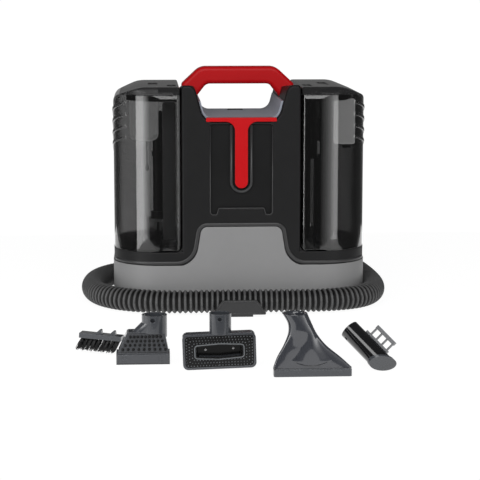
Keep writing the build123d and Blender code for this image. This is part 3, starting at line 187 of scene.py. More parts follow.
@dataclass(frozen=True)
class Plastic:
    """A moulded plastic, rubber or metal finish with drift, grain, and edges lightened partly as wear and partly as a
    painted highlight.
    """

    name: str
    colour: Colour
    roughness: float = 0.4
    grain: float = 0.00004
    grain_pitch: float = 0.0008
    drift: float = 0.08
    # How much the edges lighten, partly as wear and partly as a painted edge highlight.
    wear: float = 0.35
    wear_and_highlight_colour: Colour = (0.2, 0.2, 0.2)
    edge: float = 0.0007
    specular: float = 0.5
    coat: float = 0.0
    metallic: float = 0.0
    alpha: float = 1.0

    def material(self) -> bpy.types.Material:
        """Build the finish.

        The colour drifts with a broad noise. Near an edge the normal rounded over the edge
        width leaves the true normal, and that difference lightens the colour, partly as wear and
        partly as a painted edge highlight. Gloss drifts with a finer noise, and a fine noise lifts
        the surface as moulded grain.

        Returns:
            The material.
        """
        desk = Desk(bpy.data.materials.new(self.name))
        place = desk.node("ShaderNodeTexCoord").outputs["Object"]
        broad = desk.number(desk.node("ShaderNodeTexNoise", {}, {"Vector": place, "Scale": 14.0, "Detail": 3.0}))
        smear = desk.number(desk.node("ShaderNodeTexNoise", {}, {"Vector": place, "Scale": 90.0, "Detail": 4.0}))
        fine = desk.node("ShaderNodeTexNoise", {}, {"Vector": place, "Scale": 1.0 / self.grain_pitch, "Detail": 2.0})
        rounded = desk.node("ShaderNodeBevel", {"samples": 6}, {"Radius": self.edge})
        true = desk.node("ShaderNodeNewGeometry")
        along = desk.number(desk.node("ShaderNodeVectorMath", {"operation": "DOT_PRODUCT"},
                                      {0: rounded.outputs[0], 1: true.outputs["Normal"]}), "Value")
        # Share of the edge colour: partly wear, partly a painted highlight.
        worn_and_highlit = (1.0 - along).between(0.01, 0.16) * self.wear * (smear * 0.8 + 0.5)
        shade = (broad - 0.5) * self.drift * 2.0 + (smear - 0.5) * self.drift + 1.0
        tinted = desk.node("ShaderNodeMix", {"data_type": "RGBA", "blend_type": "MULTIPLY"},
                           {"Factor": 1.0, "A": (*self.colour, 1.0), "B": desk.node(
                               "ShaderNodeCombineColor", {}, {"Red": shade, "Green": shade, "Blue": shade}).outputs[0]})
        coloured = desk.node("ShaderNodeMix", {"data_type": "RGBA"},
                             {"Factor": worn_and_highlit, "A": tinted.outputs["Result"], "B": (*self.wear_and_highlight_colour, 1.0)})
        gloss = (smear - 0.5) * 0.14 + (broad - 0.5) * 0.08 + self.roughness
        bump = desk.node("ShaderNodeBump", {}, {"Strength": 1.0, "Distance": self.grain, "Height": fine.outputs[0],
                                               "Normal": rounded.outputs[0]})
        shader = desk.node("ShaderNodeBsdfPrincipled", {}, {
            "Base Color": coloured.outputs["Result"], "Roughness": gloss, "Metallic": self.metallic,
            "Specular IOR Level": self.specular, "Coat Weight": self.coat, "Alpha": self.alpha,
            "Normal": bump.outputs[0]})
        return desk.finish(shader)


@dataclass(frozen=True)
class Smoke:
    """A clear or smoked plastic: it shows what is behind it, darkened, under a clear gloss.

    The glow is painted light: an emission that stands for daylight which a milky wall scatters inside a smoked tank.
    """

    name: str
    colour: Colour
    alpha: float
    roughness: float = 0.05
    edge: float = 0.0012
    specular: float = 0.8
    coat: float = 0.8
    # Emission strength: painted light, since no lamp is there.
    glow: float = 0.0

    def material(self) -> bpy.types.Material:
        """Build the finish, with a gloss that drifts slightly and a rounded edge.

        Seen edge-on a wall is longer to look through, so its alpha rises towards there.

        Returns:
            The material.
        """
        desk = Desk(bpy.data.materials.new(self.name))
        place = desk.node("ShaderNodeTexCoord").outputs["Object"]
        broad = desk.number(desk.node("ShaderNodeTexNoise", {}, {"Vector": place, "Scale": 11.0, "Detail": 3.0}))
        wave = desk.node("ShaderNodeTexNoise", {}, {"Vector": place, "Scale": 26.0, "Detail": 0.0})
        rounded = desk.node("ShaderNodeBevel", {"samples": 6}, {"Radius": self.edge})
        bump = desk.node("ShaderNodeBump", {}, {"Strength": 0.35, "Distance": 0.0002, "Height": wave.outputs[0],
                                               "Normal": rounded.outputs[0]})
        edge_on = desk.number(desk.node("ShaderNodeLayerWeight", {}, {"Blend": 0.5}), "Facing").between(0.4, 1.0)
        shader = desk.node("ShaderNodeBsdfPrincipled", {}, {
            "Base Color": (*self.colour, 1.0), "Roughness": (broad - 0.5) * 0.05 + self.roughness,
            "Specular IOR Level": self.specular, "Coat Weight": self.coat, "Coat Roughness": 0.02, "Coat IOR": 1.6,
            # The emission is painted light.
            "Emission Color": (1.0, 1.0, 1.0, 1.0), "Emission Strength": self.glow,
            "Alpha": edge_on * (0.9 * (1.0 - self.alpha)) + self.alpha, "Normal": bump.outputs[0]})
        return desk.finish(shader)


@dataclass(frozen=True)
class Ribbed:
    """The hose's finish: dull grey on the ridges, darkened to near black down in the grooves as painted shade."""

    name: str
    ridge: Colour
    groove: Colour
    roughness: float = 0.4
    specular: float = 0.4

    def material(self) -> bpy.types.Material:
        """Build the finish on the piece's "crest" attribute, which is 1 on a ridge and 0 in a groove.

        The colour goes from the groove's near black, which is painted shade, to the ridge's grey over the
        upper half of the crest, with scuffs from a fine noise on the ridges alone, and the grooves are duller.

        Returns:
            The material.
        """
        desk = Desk(bpy.data.materials.new(self.name))
        place = desk.node("ShaderNodeTexCoord").outputs["Object"]
        crest = desk.number(desk.node("ShaderNodeAttribute", {"attribute_name": "crest"}), "Fac")
        scuff = desk.number(desk.node("ShaderNodeTexNoise", {}, {"Vector": place, "Scale": 260.0, "Detail": 3.0}))
        top = crest.between(0.35, 1.0) * (scuff * 0.9 + 0.55)
        # The groove colour is painted shade.
        coloured = desk.node("ShaderNodeMix", {"data_type": "RGBA"},
                             {"Factor": top, "A": (*self.groove, 1.0), "B": (*self.ridge, 1.0)})
        bump = desk.node("ShaderNodeBump", {}, {"Strength": 0.6, "Distance": 0.00002, "Height": scuff})
        shader = desk.node("ShaderNodeBsdfPrincipled", {}, {
            "Base Color": coloured.outputs["Result"], "Roughness": (1.0 - crest) * 0.3 + self.roughness,
            "Specular IOR Level": self.specular, "Normal": bump.outputs[0]})
        return desk.finish(shader)


Finish = Plastic | Smoke | Ribbed

FINISHES: dict[str, Finish] = {
    # Near black for sheets that stand where there is only shade: painted shade.
    "throat_black": Plastic("throat_black", (0.0015, 0.0015, 0.0016), 0.18, grain=0.0, wear=0.0, edge=0.0003,
                            specular=0.2),
    # Near white for the pet tool's screw heads: painted glints.
    "pale_pin": Plastic("pale_pin", (0.8, 0.8, 0.8), 0.3, grain=0.0, wear=0.0, edge=0.0003),
    "inner_grey": Plastic("inner_grey", (0.20, 0.20, 0.202), 0.4, wear_and_highlight_colour=(0.12, 0.12, 0.12)),
    "casing_grey": Plastic("casing_grey", (0.262, 0.262, 0.264), 0.46, grain=0.00003, drift=0.05, wear=0.4,
                           wear_and_highlight_colour=(0.42, 0.42, 0.42), edge=0.0012),
    "cover_black": Plastic("cover_black", (0.0095, 0.0095, 0.010), 0.46, grain=0.00003, wear=0.5, specular=0.22,
                           wear_and_highlight_colour=(0.10, 0.10, 0.10), edge=0.0012),
    "panel_black": Plastic("panel_black", (0.0062, 0.0063, 0.0066), 0.46, grain=0.00002, wear=0.6, specular=0.2,
                           wear_and_highlight_colour=(0.10, 0.10, 0.10), edge=0.0009),
    "trim_red": Plastic("trim_red", (0.58, 0.0022, 0.0055), 0.40, grain=0.00001, drift=0.02, wear=0.12,
                        wear_and_highlight_colour=(0.72, 0.06, 0.06), edge=0.0016, specular=0.2),
    "deck_grey": Plastic("deck_grey", (0.34, 0.365, 0.43), 0.42, drift=0.05, wear=0.3,
                         wear_and_highlight_colour=(0.6, 0.62, 0.68), edge=0.0008),
    "button_black": Plastic("button_black", (0.02, 0.02, 0.022), 0.4),
    "tank_smoke": Smoke("tank_smoke", (0.005, 0.005, 0.005), 0.48),
    "tank_smoke_dark": Smoke("tank_smoke_dark", (0.003, 0.003, 0.003), 0.62),
    "lid_smoke": Smoke("lid_smoke", (0.035, 0.035, 0.036), 0.66, roughness=0.22, specular=0.25, coat=0.0),
    # Painted light: the cup and the baffle glow as if lit from inside the tank.
    "cup_clear": Smoke("cup_clear", (0.42, 0.42, 0.42), 0.45, roughness=0.3, coat=0.0, glow=0.27),
    "baffle_milky": Smoke("baffle_milky", (0.42, 0.42, 0.42), 0.6, roughness=0.3, coat=0.0, glow=0.9),
    "valve_smoke": Smoke("valve_smoke", (0.01, 0.01, 0.01), 0.35, roughness=0.2, coat=0.0),
    # A lighter black than the covers, for the raised lines: painted highlight on real beads.
    "rim_black": Plastic("rim_black", (0.035, 0.035, 0.036), 0.36, grain=0.00001, wear=0.3, edge=0.0004,
                         wear_and_highlight_colour=(0.12, 0.12, 0.12)),
    "nub_black": Plastic("nub_black", (0.003, 0.003, 0.0032), 0.3, specular=0.3, grain=0.0, wear=0.0, edge=0.0003),
    "nub_slate": Plastic("nub_slate", (0.16, 0.17, 0.18), 0.35, grain=0.0, wear=0.0, edge=0.0003),
    "inner_black": Plastic("inner_black", (0.014, 0.014, 0.014), 0.38, wear_and_highlight_colour=(0.12, 0.12, 0.12)),
    "seal_rubber": Plastic("seal_rubber", (0.012, 0.012, 0.012), 0.7, grain=0.00002),
    "foot_rubber": Plastic("foot_rubber", (0.02, 0.02, 0.02), 0.8, grain=0.00006),
    "screw_steel": Plastic("screw_steel", (0.5, 0.5, 0.5), 0.3, grain=0.00001, metallic=1.0,
                           wear_and_highlight_colour=(0.7, 0.7, 0.7)),
    "motor_metal": Plastic("motor_metal", (0.35, 0.35, 0.35), 0.4, metallic=0.9, wear_and_highlight_colour=(0.6, 0.6, 0.6)),
    # Ridges grey, grooves near black as painted shade.
    "hose_black": Ribbed("hose_black", (0.105, 0.105, 0.106), (0.0015, 0.0015, 0.0015), specular=0.3),
    "fitting_black": Plastic("fitting_black", (0.024, 0.024, 0.025), 0.4, wear_and_highlight_colour=(0.13, 0.13, 0.13),
                             wear=0.5, edge=0.0008),
    "wand_black": Plastic("wand_black", (0.024, 0.024, 0.025), 0.38, wear_and_highlight_colour=(0.12, 0.12, 0.12), edge=0.0012),
    "trigger_red": Plastic("trigger_red", (0.62, 0.004, 0.008), 0.33, grain=0.00001, wear_and_highlight_colour=(0.8, 0.12, 0.12)),
    "tool_slate": Plastic("tool_slate", (0.05, 0.054, 0.062), 0.26, grain=0.00001, wear=0.5,
                          wear_and_highlight_colour=(0.2, 0.21, 0.23), edge=0.0009, coat=0.5),
    "nozzle_slate": Plastic("nozzle_slate", (0.044, 0.047, 0.056), 0.2, grain=0.000008, wear=0.2,
                            wear_and_highlight_colour=(0.16, 0.17, 0.19), edge=0.0006, coat=1.0),
    "tool_black": Plastic("tool_black", (0.007, 0.007, 0.008), 0.09, grain=0.000004, wear=0.08,
                          wear_and_highlight_colour=(0.14, 0.14, 0.15), edge=0.0008, coat=1.0),
    "nub_rubber": Plastic("nub_rubber", (0.055, 0.058, 0.064), 0.5, grain=0.00003, wear=0.4,
                          wear_and_highlight_colour=(0.13, 0.13, 0.14), edge=0.0005),
    "bristle": Plastic("bristle", (0.005, 0.005, 0.0055), 0.42, grain=0.0, wear=0.0, edge=0.0002),
}

# Nodes whose finish isn't that of their slot in the record.
OWN_FINISH = {"dirty_tank": "tank_smoke_dark", "clean_valve": "valve_smoke", "pet_tool_pad": "nub_black"}


@dataclass
class Wardrobe:
    """Every finish of the product, built once, and the calls that dress a piece in one."""

    made: dict[str, bpy.types.Material] = field(default_factory=dict)

    def material(self, slot: str) -> bpy.types.Material:
        """The material of a slot of the record, built when it is first asked for."""
        if slot not in self.made:
            self.made[slot] = FINISHES[slot].material()
        return self.made[slot]

    def dress_packed(self, frame: dict) -> None:
        """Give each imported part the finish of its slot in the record.

        Args:
            frame: What the frame's load call returned.
        """
        for part in frame["record"]["subparts"]:
            mesh = frame["nodes"][part["node"]].data
            mesh.materials.clear()
            mesh.materials.append(self.material(OWN_FINISH.get(part["node"], part["material_slot"])))

    def wear(self, piece: bpy.types.Object, slot: str, body: str, finish: str = "") -> None:
        """Dress a new piece in its finish, or else in its slot's, and let it ride with a body.

        Args:
            piece: The new object.
            slot: The record's material slot.
            body: The body that it moves with.
            finish: The finish, where it isn't the slot's own.
        """
        piece.data.materials.clear()
        piece.data.materials.append(self.material(finish or slot))
        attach(piece, body)
        LOG.info("%s: %d faces, with %s", piece.name, len(piece.data.polygons), body)


# ---------------------------------------------------------------- surfaces


def sheets_to_piece(name: str, sheets: np.ndarray, wrap: bool = True, ends: Ends = Ends.FLAT) -> bpy.types.Object:
    """Make one smooth object of several grids of points.

    Sheet n has its point of row i and column j at sheets[n, i, j]. Four neighbours make a
    face whose outside is the side from which the columns run anticlockwise when the rows
    come towards the eye. With wrap, the last column joins the first, and flat ends close
    the first and last rows.

    Args:
        name: The object's name.
        sheets: Points, as an array of shape (count, rows, columns, 3).
        wrap: Whether the columns close into rings.
        ends: How the first and last rings are finished.

    Returns:
        The new object, linked to the scene.
    """
    count, rows, columns, _ = sheets.shape
    index = np.arange(count * rows * columns).reshape(count, rows, columns)
    here = index if wrap else index[:, :, :-1]
    there = np.roll(index, -1, axis=2) if wrap else index[:, :, 1:]
    quads = np.stack([here[:, :-1], there[:, :-1], there[:, 1:], here[:, 1:]], axis=-1).reshape(-1, 4)
    faces = quads.tolist()
    if wrap and ends is Ends.FLAT:
        faces += index[:, 0, ::-1].tolist() + index[:, -1].tolist()
    mesh = bpy.data.meshes.new(name)
    mesh.from_pydata(sheets.reshape(-1, 3).tolist(), [], faces)
    mesh.polygons.foreach_set("use_smooth", np.arange(len(faces)) < len(quads))
    mesh.update()
    piece = bpy.data.objects.new(name, mesh)
    bpy.context.scene.collection.objects.link(piece)
    return piece


def unit(vectors: np.ndarray) -> np.ndarray:
    """The vectors, each divided by its own length."""
    return vectors / np.linalg.norm(vectors, axis=-1, keepdims=True)


def distances(line: np.ndarray) -> np.ndarray:
    """The distance walked along a line of points to each of them."""
    return np.concatenate([[0.0], np.cumsum(np.linalg.norm(np.diff(line, axis=0), axis=1))])


def rings_along(path: np.ndarray, radii: np.ndarray, around: int) -> np.ndarray:
    """Circles carried along a path, each square to it.

    The path's direction at each point is the difference of its neighbours and never straight
    up. The first side is up crossed with that direction, the second is the direction crossed
    with the first, and ring k's points are its centre plus its radius times cosine and sine
    of the two.

    Args:
        path: Centres, of shape (rows, 3).
        radii: Radii, of shape (rows,).
        around: The number of points in a ring.

    Returns:
        One sheet of shape (1, rows, around, 3).
    """
    ahead = unit(np.gradient(path, axis=0))
    first = unit(np.cross(np.array([0.0, 0.0, 1.0]), ahead))
    second = np.cross(ahead, first)
    turn = np.linspace(0.0, 2.0 * np.pi, around, endpoint=False)
    spread = np.cos(turn)[None, :, None] * first[:, None] + np.sin(turn)[None, :, None] * second[:, None]
    return (path[:, None] + radii[:, None, None] * spread)[None]


def smooth_route(points: list, spacing: float, name: str) -> np.ndarray:
    """Read evenly spaced points off the smooth curve that a list of points steers.

    Args:
        points: The route's own points, in metres.
        spacing: The distance between the points that come back.
        name: A name for the curve while it is read.

    Returns:
        Points of shape (rows, 3).
    """
    curve = bpy.data.curves.new(name, "CURVE")
    curve.dimensions, curve.resolution_u = "3D", 64
    spline = curve.splines.new("NURBS")
    spline.points.add(len(points) - 1)
    spline.points.foreach_set("co", np.hstack([np.array(points), np.ones((len(points), 1))]).ravel())
    spline.order_u, spline.use_endpoint_u = 3, True
    holder = bpy.data.objects.new(name, curve)
    mesh = bpy.data.meshes.new_from_object(holder)
    read = np.empty(len(mesh.vertices) * 3)
    mesh.vertices.foreach_get("co", read)
    bpy.data.objects.remove(holder)
    bpy.data.curves.remove(curve)
    bpy.data.meshes.remove(mesh)
    read = read.reshape(-1, 3)
    walked = distances(read)
    wanted = np.linspace(0.0, walked[-1], max(2, round(walked[-1] / spacing)))
    return np.stack([np.interp(wanted, walked, read[:, k]) for k in range(3)], axis=1)


def rounded_route(points: list, radii: list, steps: int = 7) -> np.ndarray:
    """A flat line through points, with each inner corner turned on an arc of its radius.

    The arc leaves each run at radius over the tangent of half the corner's angle, and its
    points stand one radius from the corner's centre, at even angles between the two runs.

    Args:
        points: Corners, as (across, up) pairs.
        radii: A radius for each corner; those of the ends aren't used.
        steps: Points on each arc.

    Returns:
        Points of shape (rows, 2).
    """
    corners = np.array(points, float)
    parts = [corners[:1]]
    for before, corner, after, radius in zip(corners[:-2], corners[1:-1], corners[2:], radii[1:-1]):
        back, ahead = unit(before - corner), unit(after - corner)
        half = 0.5 * math.acos(float(np.clip(back @ ahead, -1.0, 1.0)))
        centre = corner + unit(back + ahead) * radius / math.sin(half)
        first = corner + back * radius / math.tan(half) - centre
        last = corner + ahead * radius / math.tan(half) - centre
        share = np.linspace(0.0, 1.0, steps)[:, None]
        spread = math.pi - 2.0 * half
        arc = (np.sin((1.0 - share) * spread) * first + np.sin(share * spread) * last) / math.sin(spread)
        parts.append(centre + arc)
    parts.append(corners[-1:])
    return np.concatenate(parts)


def bead_sheet(route: np.ndarray, out: np.ndarray, width: float, proud: float) -> np.ndarray:
    """The points of a raised half-round line laid along a route on a surface.

    At each point the side is out crossed with the way ahead. The section's upper points are
    half the width times cosine along the side and the height times sine outwards, for angles
    from 0 to a half turn, and two more points close it below the surface.

    Args:
        route: Points of shape (rows, 3).
        out: The outward direction, of shape (3,) or (rows, 3).
        width: The bead's width.
        proud: Its height.

    Returns:
        One sheet of shape (1, rows, columns, 3).
    """
    ahead = unit(np.gradient(route, axis=0))
    outward = np.broadcast_to(out, route.shape)
    side = unit(np.cross(outward, ahead))
    turn = np.linspace(0.0, np.pi, 7)
    across = np.concatenate([np.cos(turn), [-1.0, 1.0]]) * width / 2.0
    height = np.concatenate([np.sin(turn) * proud, [-0.0004, -0.0004]])
    return (route[:, None] + side[:, None] * across[None, :, None] + outward[:, None] * height[None, :, None])[None]


def bead(name: str, route: np.ndarray, out: np.ndarray, width: float, proud: float) -> bpy.types.Object:
    """One bead as an object of its own, with bead_sheet's values."""
    return sheets_to_piece(name, bead_sheet(route, out, width, proud))


def facing_out(piece: bpy.types.Object) -> bpy.types.Object:
    """Turn all of a piece's faces outwards and return the piece."""
    shape = bmesh.new()
    shape.from_mesh(piece.data)
    bmesh.ops.remove_doubles(shape, verts=shape.verts, dist=1e-6)
    bmesh.ops.recalc_face_normals(shape, faces=shape.faces)
    shape.to_mesh(piece.data)
    shape.free()
    return piece


def domes(name: str, centres: np.ndarray, radius: float, height: float, around: int = 10) -> bpy.types.Object:
    """Small round nubs that stand forwards, towards -Y, from their centres.

    Ring r of a nub lies height times sine of its angle in front of the centre and has the
    radius times cosine of that angle, for angles from 0 to just under a quarter turn.

    Args:
        name: The object's name.
        centres: Points of shape (count, 3).
        radius: The nubs' radius.
        height: How far they stand out.
        around: Points in a ring.

    Returns:
        The new object.
    """
    rise = np.array([0.0, 0.5, 1.0, 1.4])
    turn = np.linspace(0.0, 2.0 * np.pi, around, endpoint=False)
    ring = np.cos(rise)[:, None] * radius
    nub = np.stack([ring * np.cos(turn), np.broadcast_to(-np.sin(rise)[:, None] * height, (4, around)),
                    ring * np.sin(turn)], axis=-1)
    return sheets_to_piece(name, centres[:, None, None, :] + nub[None])


def block(name: str, low: tuple, high: tuple, squareness: float) -> bpy.types.Object:
    """An upright block with rounded edges, between two corners.

    Each level is a superellipse: half the width times cosine to the power of 2 over the
    squareness, and half the depth times sine to the same power. The levels at both ends are
    drawn in.

    Args:
        name: The object's name.
        low: The lowest corner.
        high: The highest corner.
        squareness: 2 gives an ellipse, and more comes nearer to a rectangle.

    Returns:
        The new object.
    """
    low, high = np.array(low, float), np.array(high, float)
    middle, half = (low + high) / 2.0, (high - low) / 2.0
    turn = np.linspace(0.0, 2.0 * np.pi, 32, endpoint=False)
    across = np.sign(np.cos(turn)) * np.abs(np.cos(turn)) ** (2.0 / squareness)
    along = np.sign(np.sin(turn)) * np.abs(np.sin(turn)) ** (2.0 / squareness)
    rise = np.array([-1.0, -0.985, -0.94, 0.0, 0.94, 0.985, 1.0])[:, None]
    draw = 1.0 - np.array([0.12, 0.035, 0.0, 0.0, 0.0, 0.035, 0.12])[:, None]
    points = np.stack([middle[0] + half[0] * draw * across, middle[1] + half[1] * draw * along,
                       np.broadcast_to(middle[2] + half[2] * rise, (len(rise), len(turn)))], axis=-1)
    return sheets_to_piece(name, points[None])


def turned(name: str, centre: tuple, radii: list, heights: list, around: int) -> bpy.types.Object:
    """A turned solid on an upright axis: ring k has radius k at height k, and flat ends.

    Args:
        name: The object's name.
        centre: The axis, as (X, Y).
        radii: The radii from the bottom up.
        heights: The heights that go with them.
        around: Points in a ring.

    Returns:
        The new object.
    """
    turn = np.linspace(0.0, 2.0 * np.pi, around, endpoint=False)
    wide, tall = np.array(radii)[:, None], np.array(heights)[:, None]
    points = np.stack([centre[0] + wide * np.cos(turn), centre[1] + wide * np.sin(turn),
                       np.broadcast_to(tall, (len(radii), around))], axis=-1)
    return sheets_to_piece(name, points[None])


# ---------------------------------------------------------------- studio


@dataclass(frozen=True)
class Softbox:
    """A row of upright lamps, side by side on one plane that faces the machine.

    The plane stands square to its bearing, which is in degrees to the right of straight in
    front, and its lamps are listed from left to right as (width, radiance), where a radiance
    of 1 is white. The row begins at start along the plane, or is centred if none is given.
    """

    name: str
    bearing: float
    distance: float
    middle: float
    height: float
    lamps: tuple[tuple[float, float], ...]
    start: float | None = None
    aim: float | None = None

    def hang(self) -> None:
        """Place the row's lamps, which the camera doesn't see."""
        turn = math.radians(self.bearing)
        out = Vector((math.sin(turn), -math.cos(turn), 0.0))
        along = Vector((math.cos(turn), math.sin(turn), 0.0))
        left = -sum(width for width, _ in self.lamps) / 2 if self.start is None else self.start
        target = Vector((0.0, 0.0, self.middle if self.aim is None else self.aim))
        facing = (target - out * self.distance - Vector((0.0, 0.0, self.middle))).to_track_quat("-Z", "Y")
        for count, (width, radiance) in enumerate(self.lamps):
            lamp = bpy.data.lights.new(f"{self.name}_{count}", "AREA")
            lamp.shape, lamp.size, lamp.size_y = "RECTANGLE", width, self.height
            lamp.energy = radiance * math.pi * width * self.height
            holder = bpy.data.objects.new(lamp.name, lamp)
            shift = left + width / 2
            holder.location = out * self.distance + along * shift + Vector((0.0, 0.0, self.middle))
            holder.rotation_euler = facing.to_euler()
            holder.visible_camera = False
            bpy.context.scene.collection.objects.link(holder)
            left += width


@dataclass
class Studio:
    """The pale room: a white sweep that keeps the shadow, a white backdrop, lamps and the camera."""

    sweep_half: float = 0.56
    sweep_front: float = -0.60
    sweep_colour: Colour = (0.92, 0.92, 0.92)
    sweep_light: float = 1.10
    sweep_lit_share: float = 0.14
    backdrop_light: float = 1.02
    fill_light: float = 0.22
    mirror_turn: tuple[float, float] = (0.78, 0.97)
    mirror_light: tuple[float, float] = (0.06, 0.22)
    camera_place: Vector = field(default_factory=lambda: Vector((-0.1180, -2.1766, 0.413)))
    camera_down: float = 8.8
    camera_turn: float = 3.2
    camera_lens: float = 123.0
    softboxes: tuple[Softbox, ...] = (
        Softbox("left_strip", -49.8, 0.732, 0.10, 0.32,
                ((0.20, 4.3), (0.04, 3.0), (0.04, 2.0), (0.04, 1.2), (0.04, 0.6)), start=-0.165),
        Softbox("right_strip", 39.3, 0.732, 0.10, 0.32,
                ((0.07, 0.15), (0.07, 0.35), (0.06, 0.6), (0.05, 0.9), (0.04, 1.2), (0.04, 1.6), (0.04, 2.0),
                 (0.11, 2.5)), start=-0.332),
        Softbox("key", -6.0, 1.9, 1.15, 1.3, ((2.0, 3.2),), aim=0.12),
    )

    def pale(self) -> bpy.types.Material:
        """The sweep's white, lit by the lamps and steadied by its own light where it is looked at.

        Camera, glossy and transmitted rays see only the lit share of the lamps' light and shade.

        Returns:
            The material.
        """
        desk = Desk(bpy.data.materials.new("pale_sweep"))
        rays = desk.node("ShaderNodeLightPath")
        seen = [desk.number(rays, f"Is {kind} Ray") for kind in ("Camera", "Glossy", "Transmission")]
        lit = desk.node("ShaderNodeBsdfDiffuse", {}, {"Color": (*self.sweep_colour, 1.0)})
        glow = desk.node("ShaderNodeEmission", {}, {"Color": (1.0, 1.0, 1.0, 1.0), "Strength": self.sweep_light})
        share = (seen[0] + seen[1] + seen[2]) * (1.0 - self.sweep_lit_share)
        return desk.finish(desk.node("ShaderNodeMixShader", {}, {0: share, 1: lit.outputs[0], 2: glow.outputs[0]}))

    def world(self) -> None:
        """A white backdrop behind the machine, a dim room in front, and a soft even fill.

        Camera rays see white all round. Glossy and transmitted rays see grey towards the
        backdrop and fall to the dim room as they turn to the front. All others get the fill.
        """
        desk = Desk(bpy.data.worlds.new("pale_room"))
        rays = desk.node("ShaderNodeLightPath").outputs
        toward = desk.node("ShaderNodeSeparateXYZ", {}, {0: desk.node("ShaderNodeTexCoord").outputs["Generated"]})
        back = desk.node("ShaderNodeMapRange", {"interpolation_type": "SMOOTHSTEP"}, {
            "Value": toward.outputs["Y"], "From Min": self.mirror_turn[0], "From Max": self.mirror_turn[1],
            "To Min": self.mirror_light[0], "To Max": self.mirror_light[1]})
        mirror = desk.node("ShaderNodeMath", {"operation": "MAXIMUM"},
                           {0: rays["Is Glossy Ray"], 1: rays["Is Transmission Ray"]})
        fill = desk.node("ShaderNodeMix", {}, {"Factor": mirror.outputs[0], "A": self.fill_light,
                                               "B": back.outputs[0]})
        final = desk.node("ShaderNodeMix", {}, {"Factor": rays["Is Camera Ray"], "A": fill.outputs["Result"],
                                                "B": self.backdrop_light})
        glow = desk.node("ShaderNodeBackground", {}, {"Color": (1.0, 1.0, 1.0, 1.0),
                                                      "Strength": final.outputs["Result"]})
        bpy.context.scene.world = desk.finish(glow, "ShaderNodeOutputWorld")

    def camera(self) -> None:
        """Set the camera in front of the machine, slightly to its left and above."""
        data = bpy.data.cameras.new("camera")
        data.lens, data.sensor_width, data.clip_end = self.camera_lens, 36.0, 50.0
        holder = bpy.data.objects.new("camera", data)
        holder.location = self.camera_place
        holder.rotation_euler = (math.radians(90.0 - self.camera_down), 0.0, math.radians(-self.camera_turn))
        bpy.context.scene.collection.objects.link(holder)
        bpy.context.scene.camera = holder

    def build(self) -> None:
        """Make the sweep, the world, the lamps and the camera."""
        bpy.context.scene.view_settings.view_transform = "Standard"
        self.camera()
        self.world()
        half, front = self.sweep_half, self.sweep_front
        corners = np.array([[[-half, front, 0.0], [half, front, 0.0]], [[-half, half, 0.0], [half, half, 0.0]]])
        floor = sheets_to_piece("sweep", corners[None], wrap=False)
        floor.data.flip_normals()
        floor.data.materials.append(self.pale())
        for softbox in self.softboxes:
            softbox.hang()


# ---------------------------------------------------------------- hose


@dataclass
class StowedHose:
    """The corrugated hose, once round the base, from its port to the parked wand."""

    wardrobe: Wardrobe
    radius: float = 0.0150
    groove: float = 0.0030
    pitch: float = 0.0068
    around: int = 30
    steps: int = 8
    route: tuple = (
        (-0.0420, 0.1300, 0.0200), (-0.1266, 0.1300, 0.0156), (-0.1940, 0.0626, 0.0153),
        (-0.1940, -0.0626, 0.0156), (-0.1266, -0.1300, 0.0166), (-0.0050, -0.1315, 0.0178),
        (0.1234, -0.1300, 0.0166), (0.1820, -0.0714, 0.0156), (0.1820, 0.0714, 0.0153),
        (0.1220, 0.1380, 0.0450), (0.0584, 0.1380, 0.1086))

    def build(self) -> None:
        """The radius is the outer one, less the groove's depth times a raised cosine of the
        distance walked, flattened so that the ridges are wider than the grooves.
        """
        path = smooth_route(list(self.route), self.pitch / self.steps, "hose_route")
        walked = distances(path)
        wave = 0.5 + 0.5 * np.cos(2.0 * np.pi * walked / self.pitch)
        crest = (1.0 - wave) ** 0.8
        radii = self.radius - self.groove * (1.0 - crest)
        piece = sheets_to_piece("corrugated_hose", rings_along(path, radii, self.around))
        shade = piece.data.attributes.new("crest", "FLOAT", "POINT")
        shade.data.foreach_set("value", np.repeat(crest, self.around).astype(np.float32))
        self.wardrobe.wear(piece, "hose_black", "machine")
        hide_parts("hose")


# ---------------------------------------------------------------- details


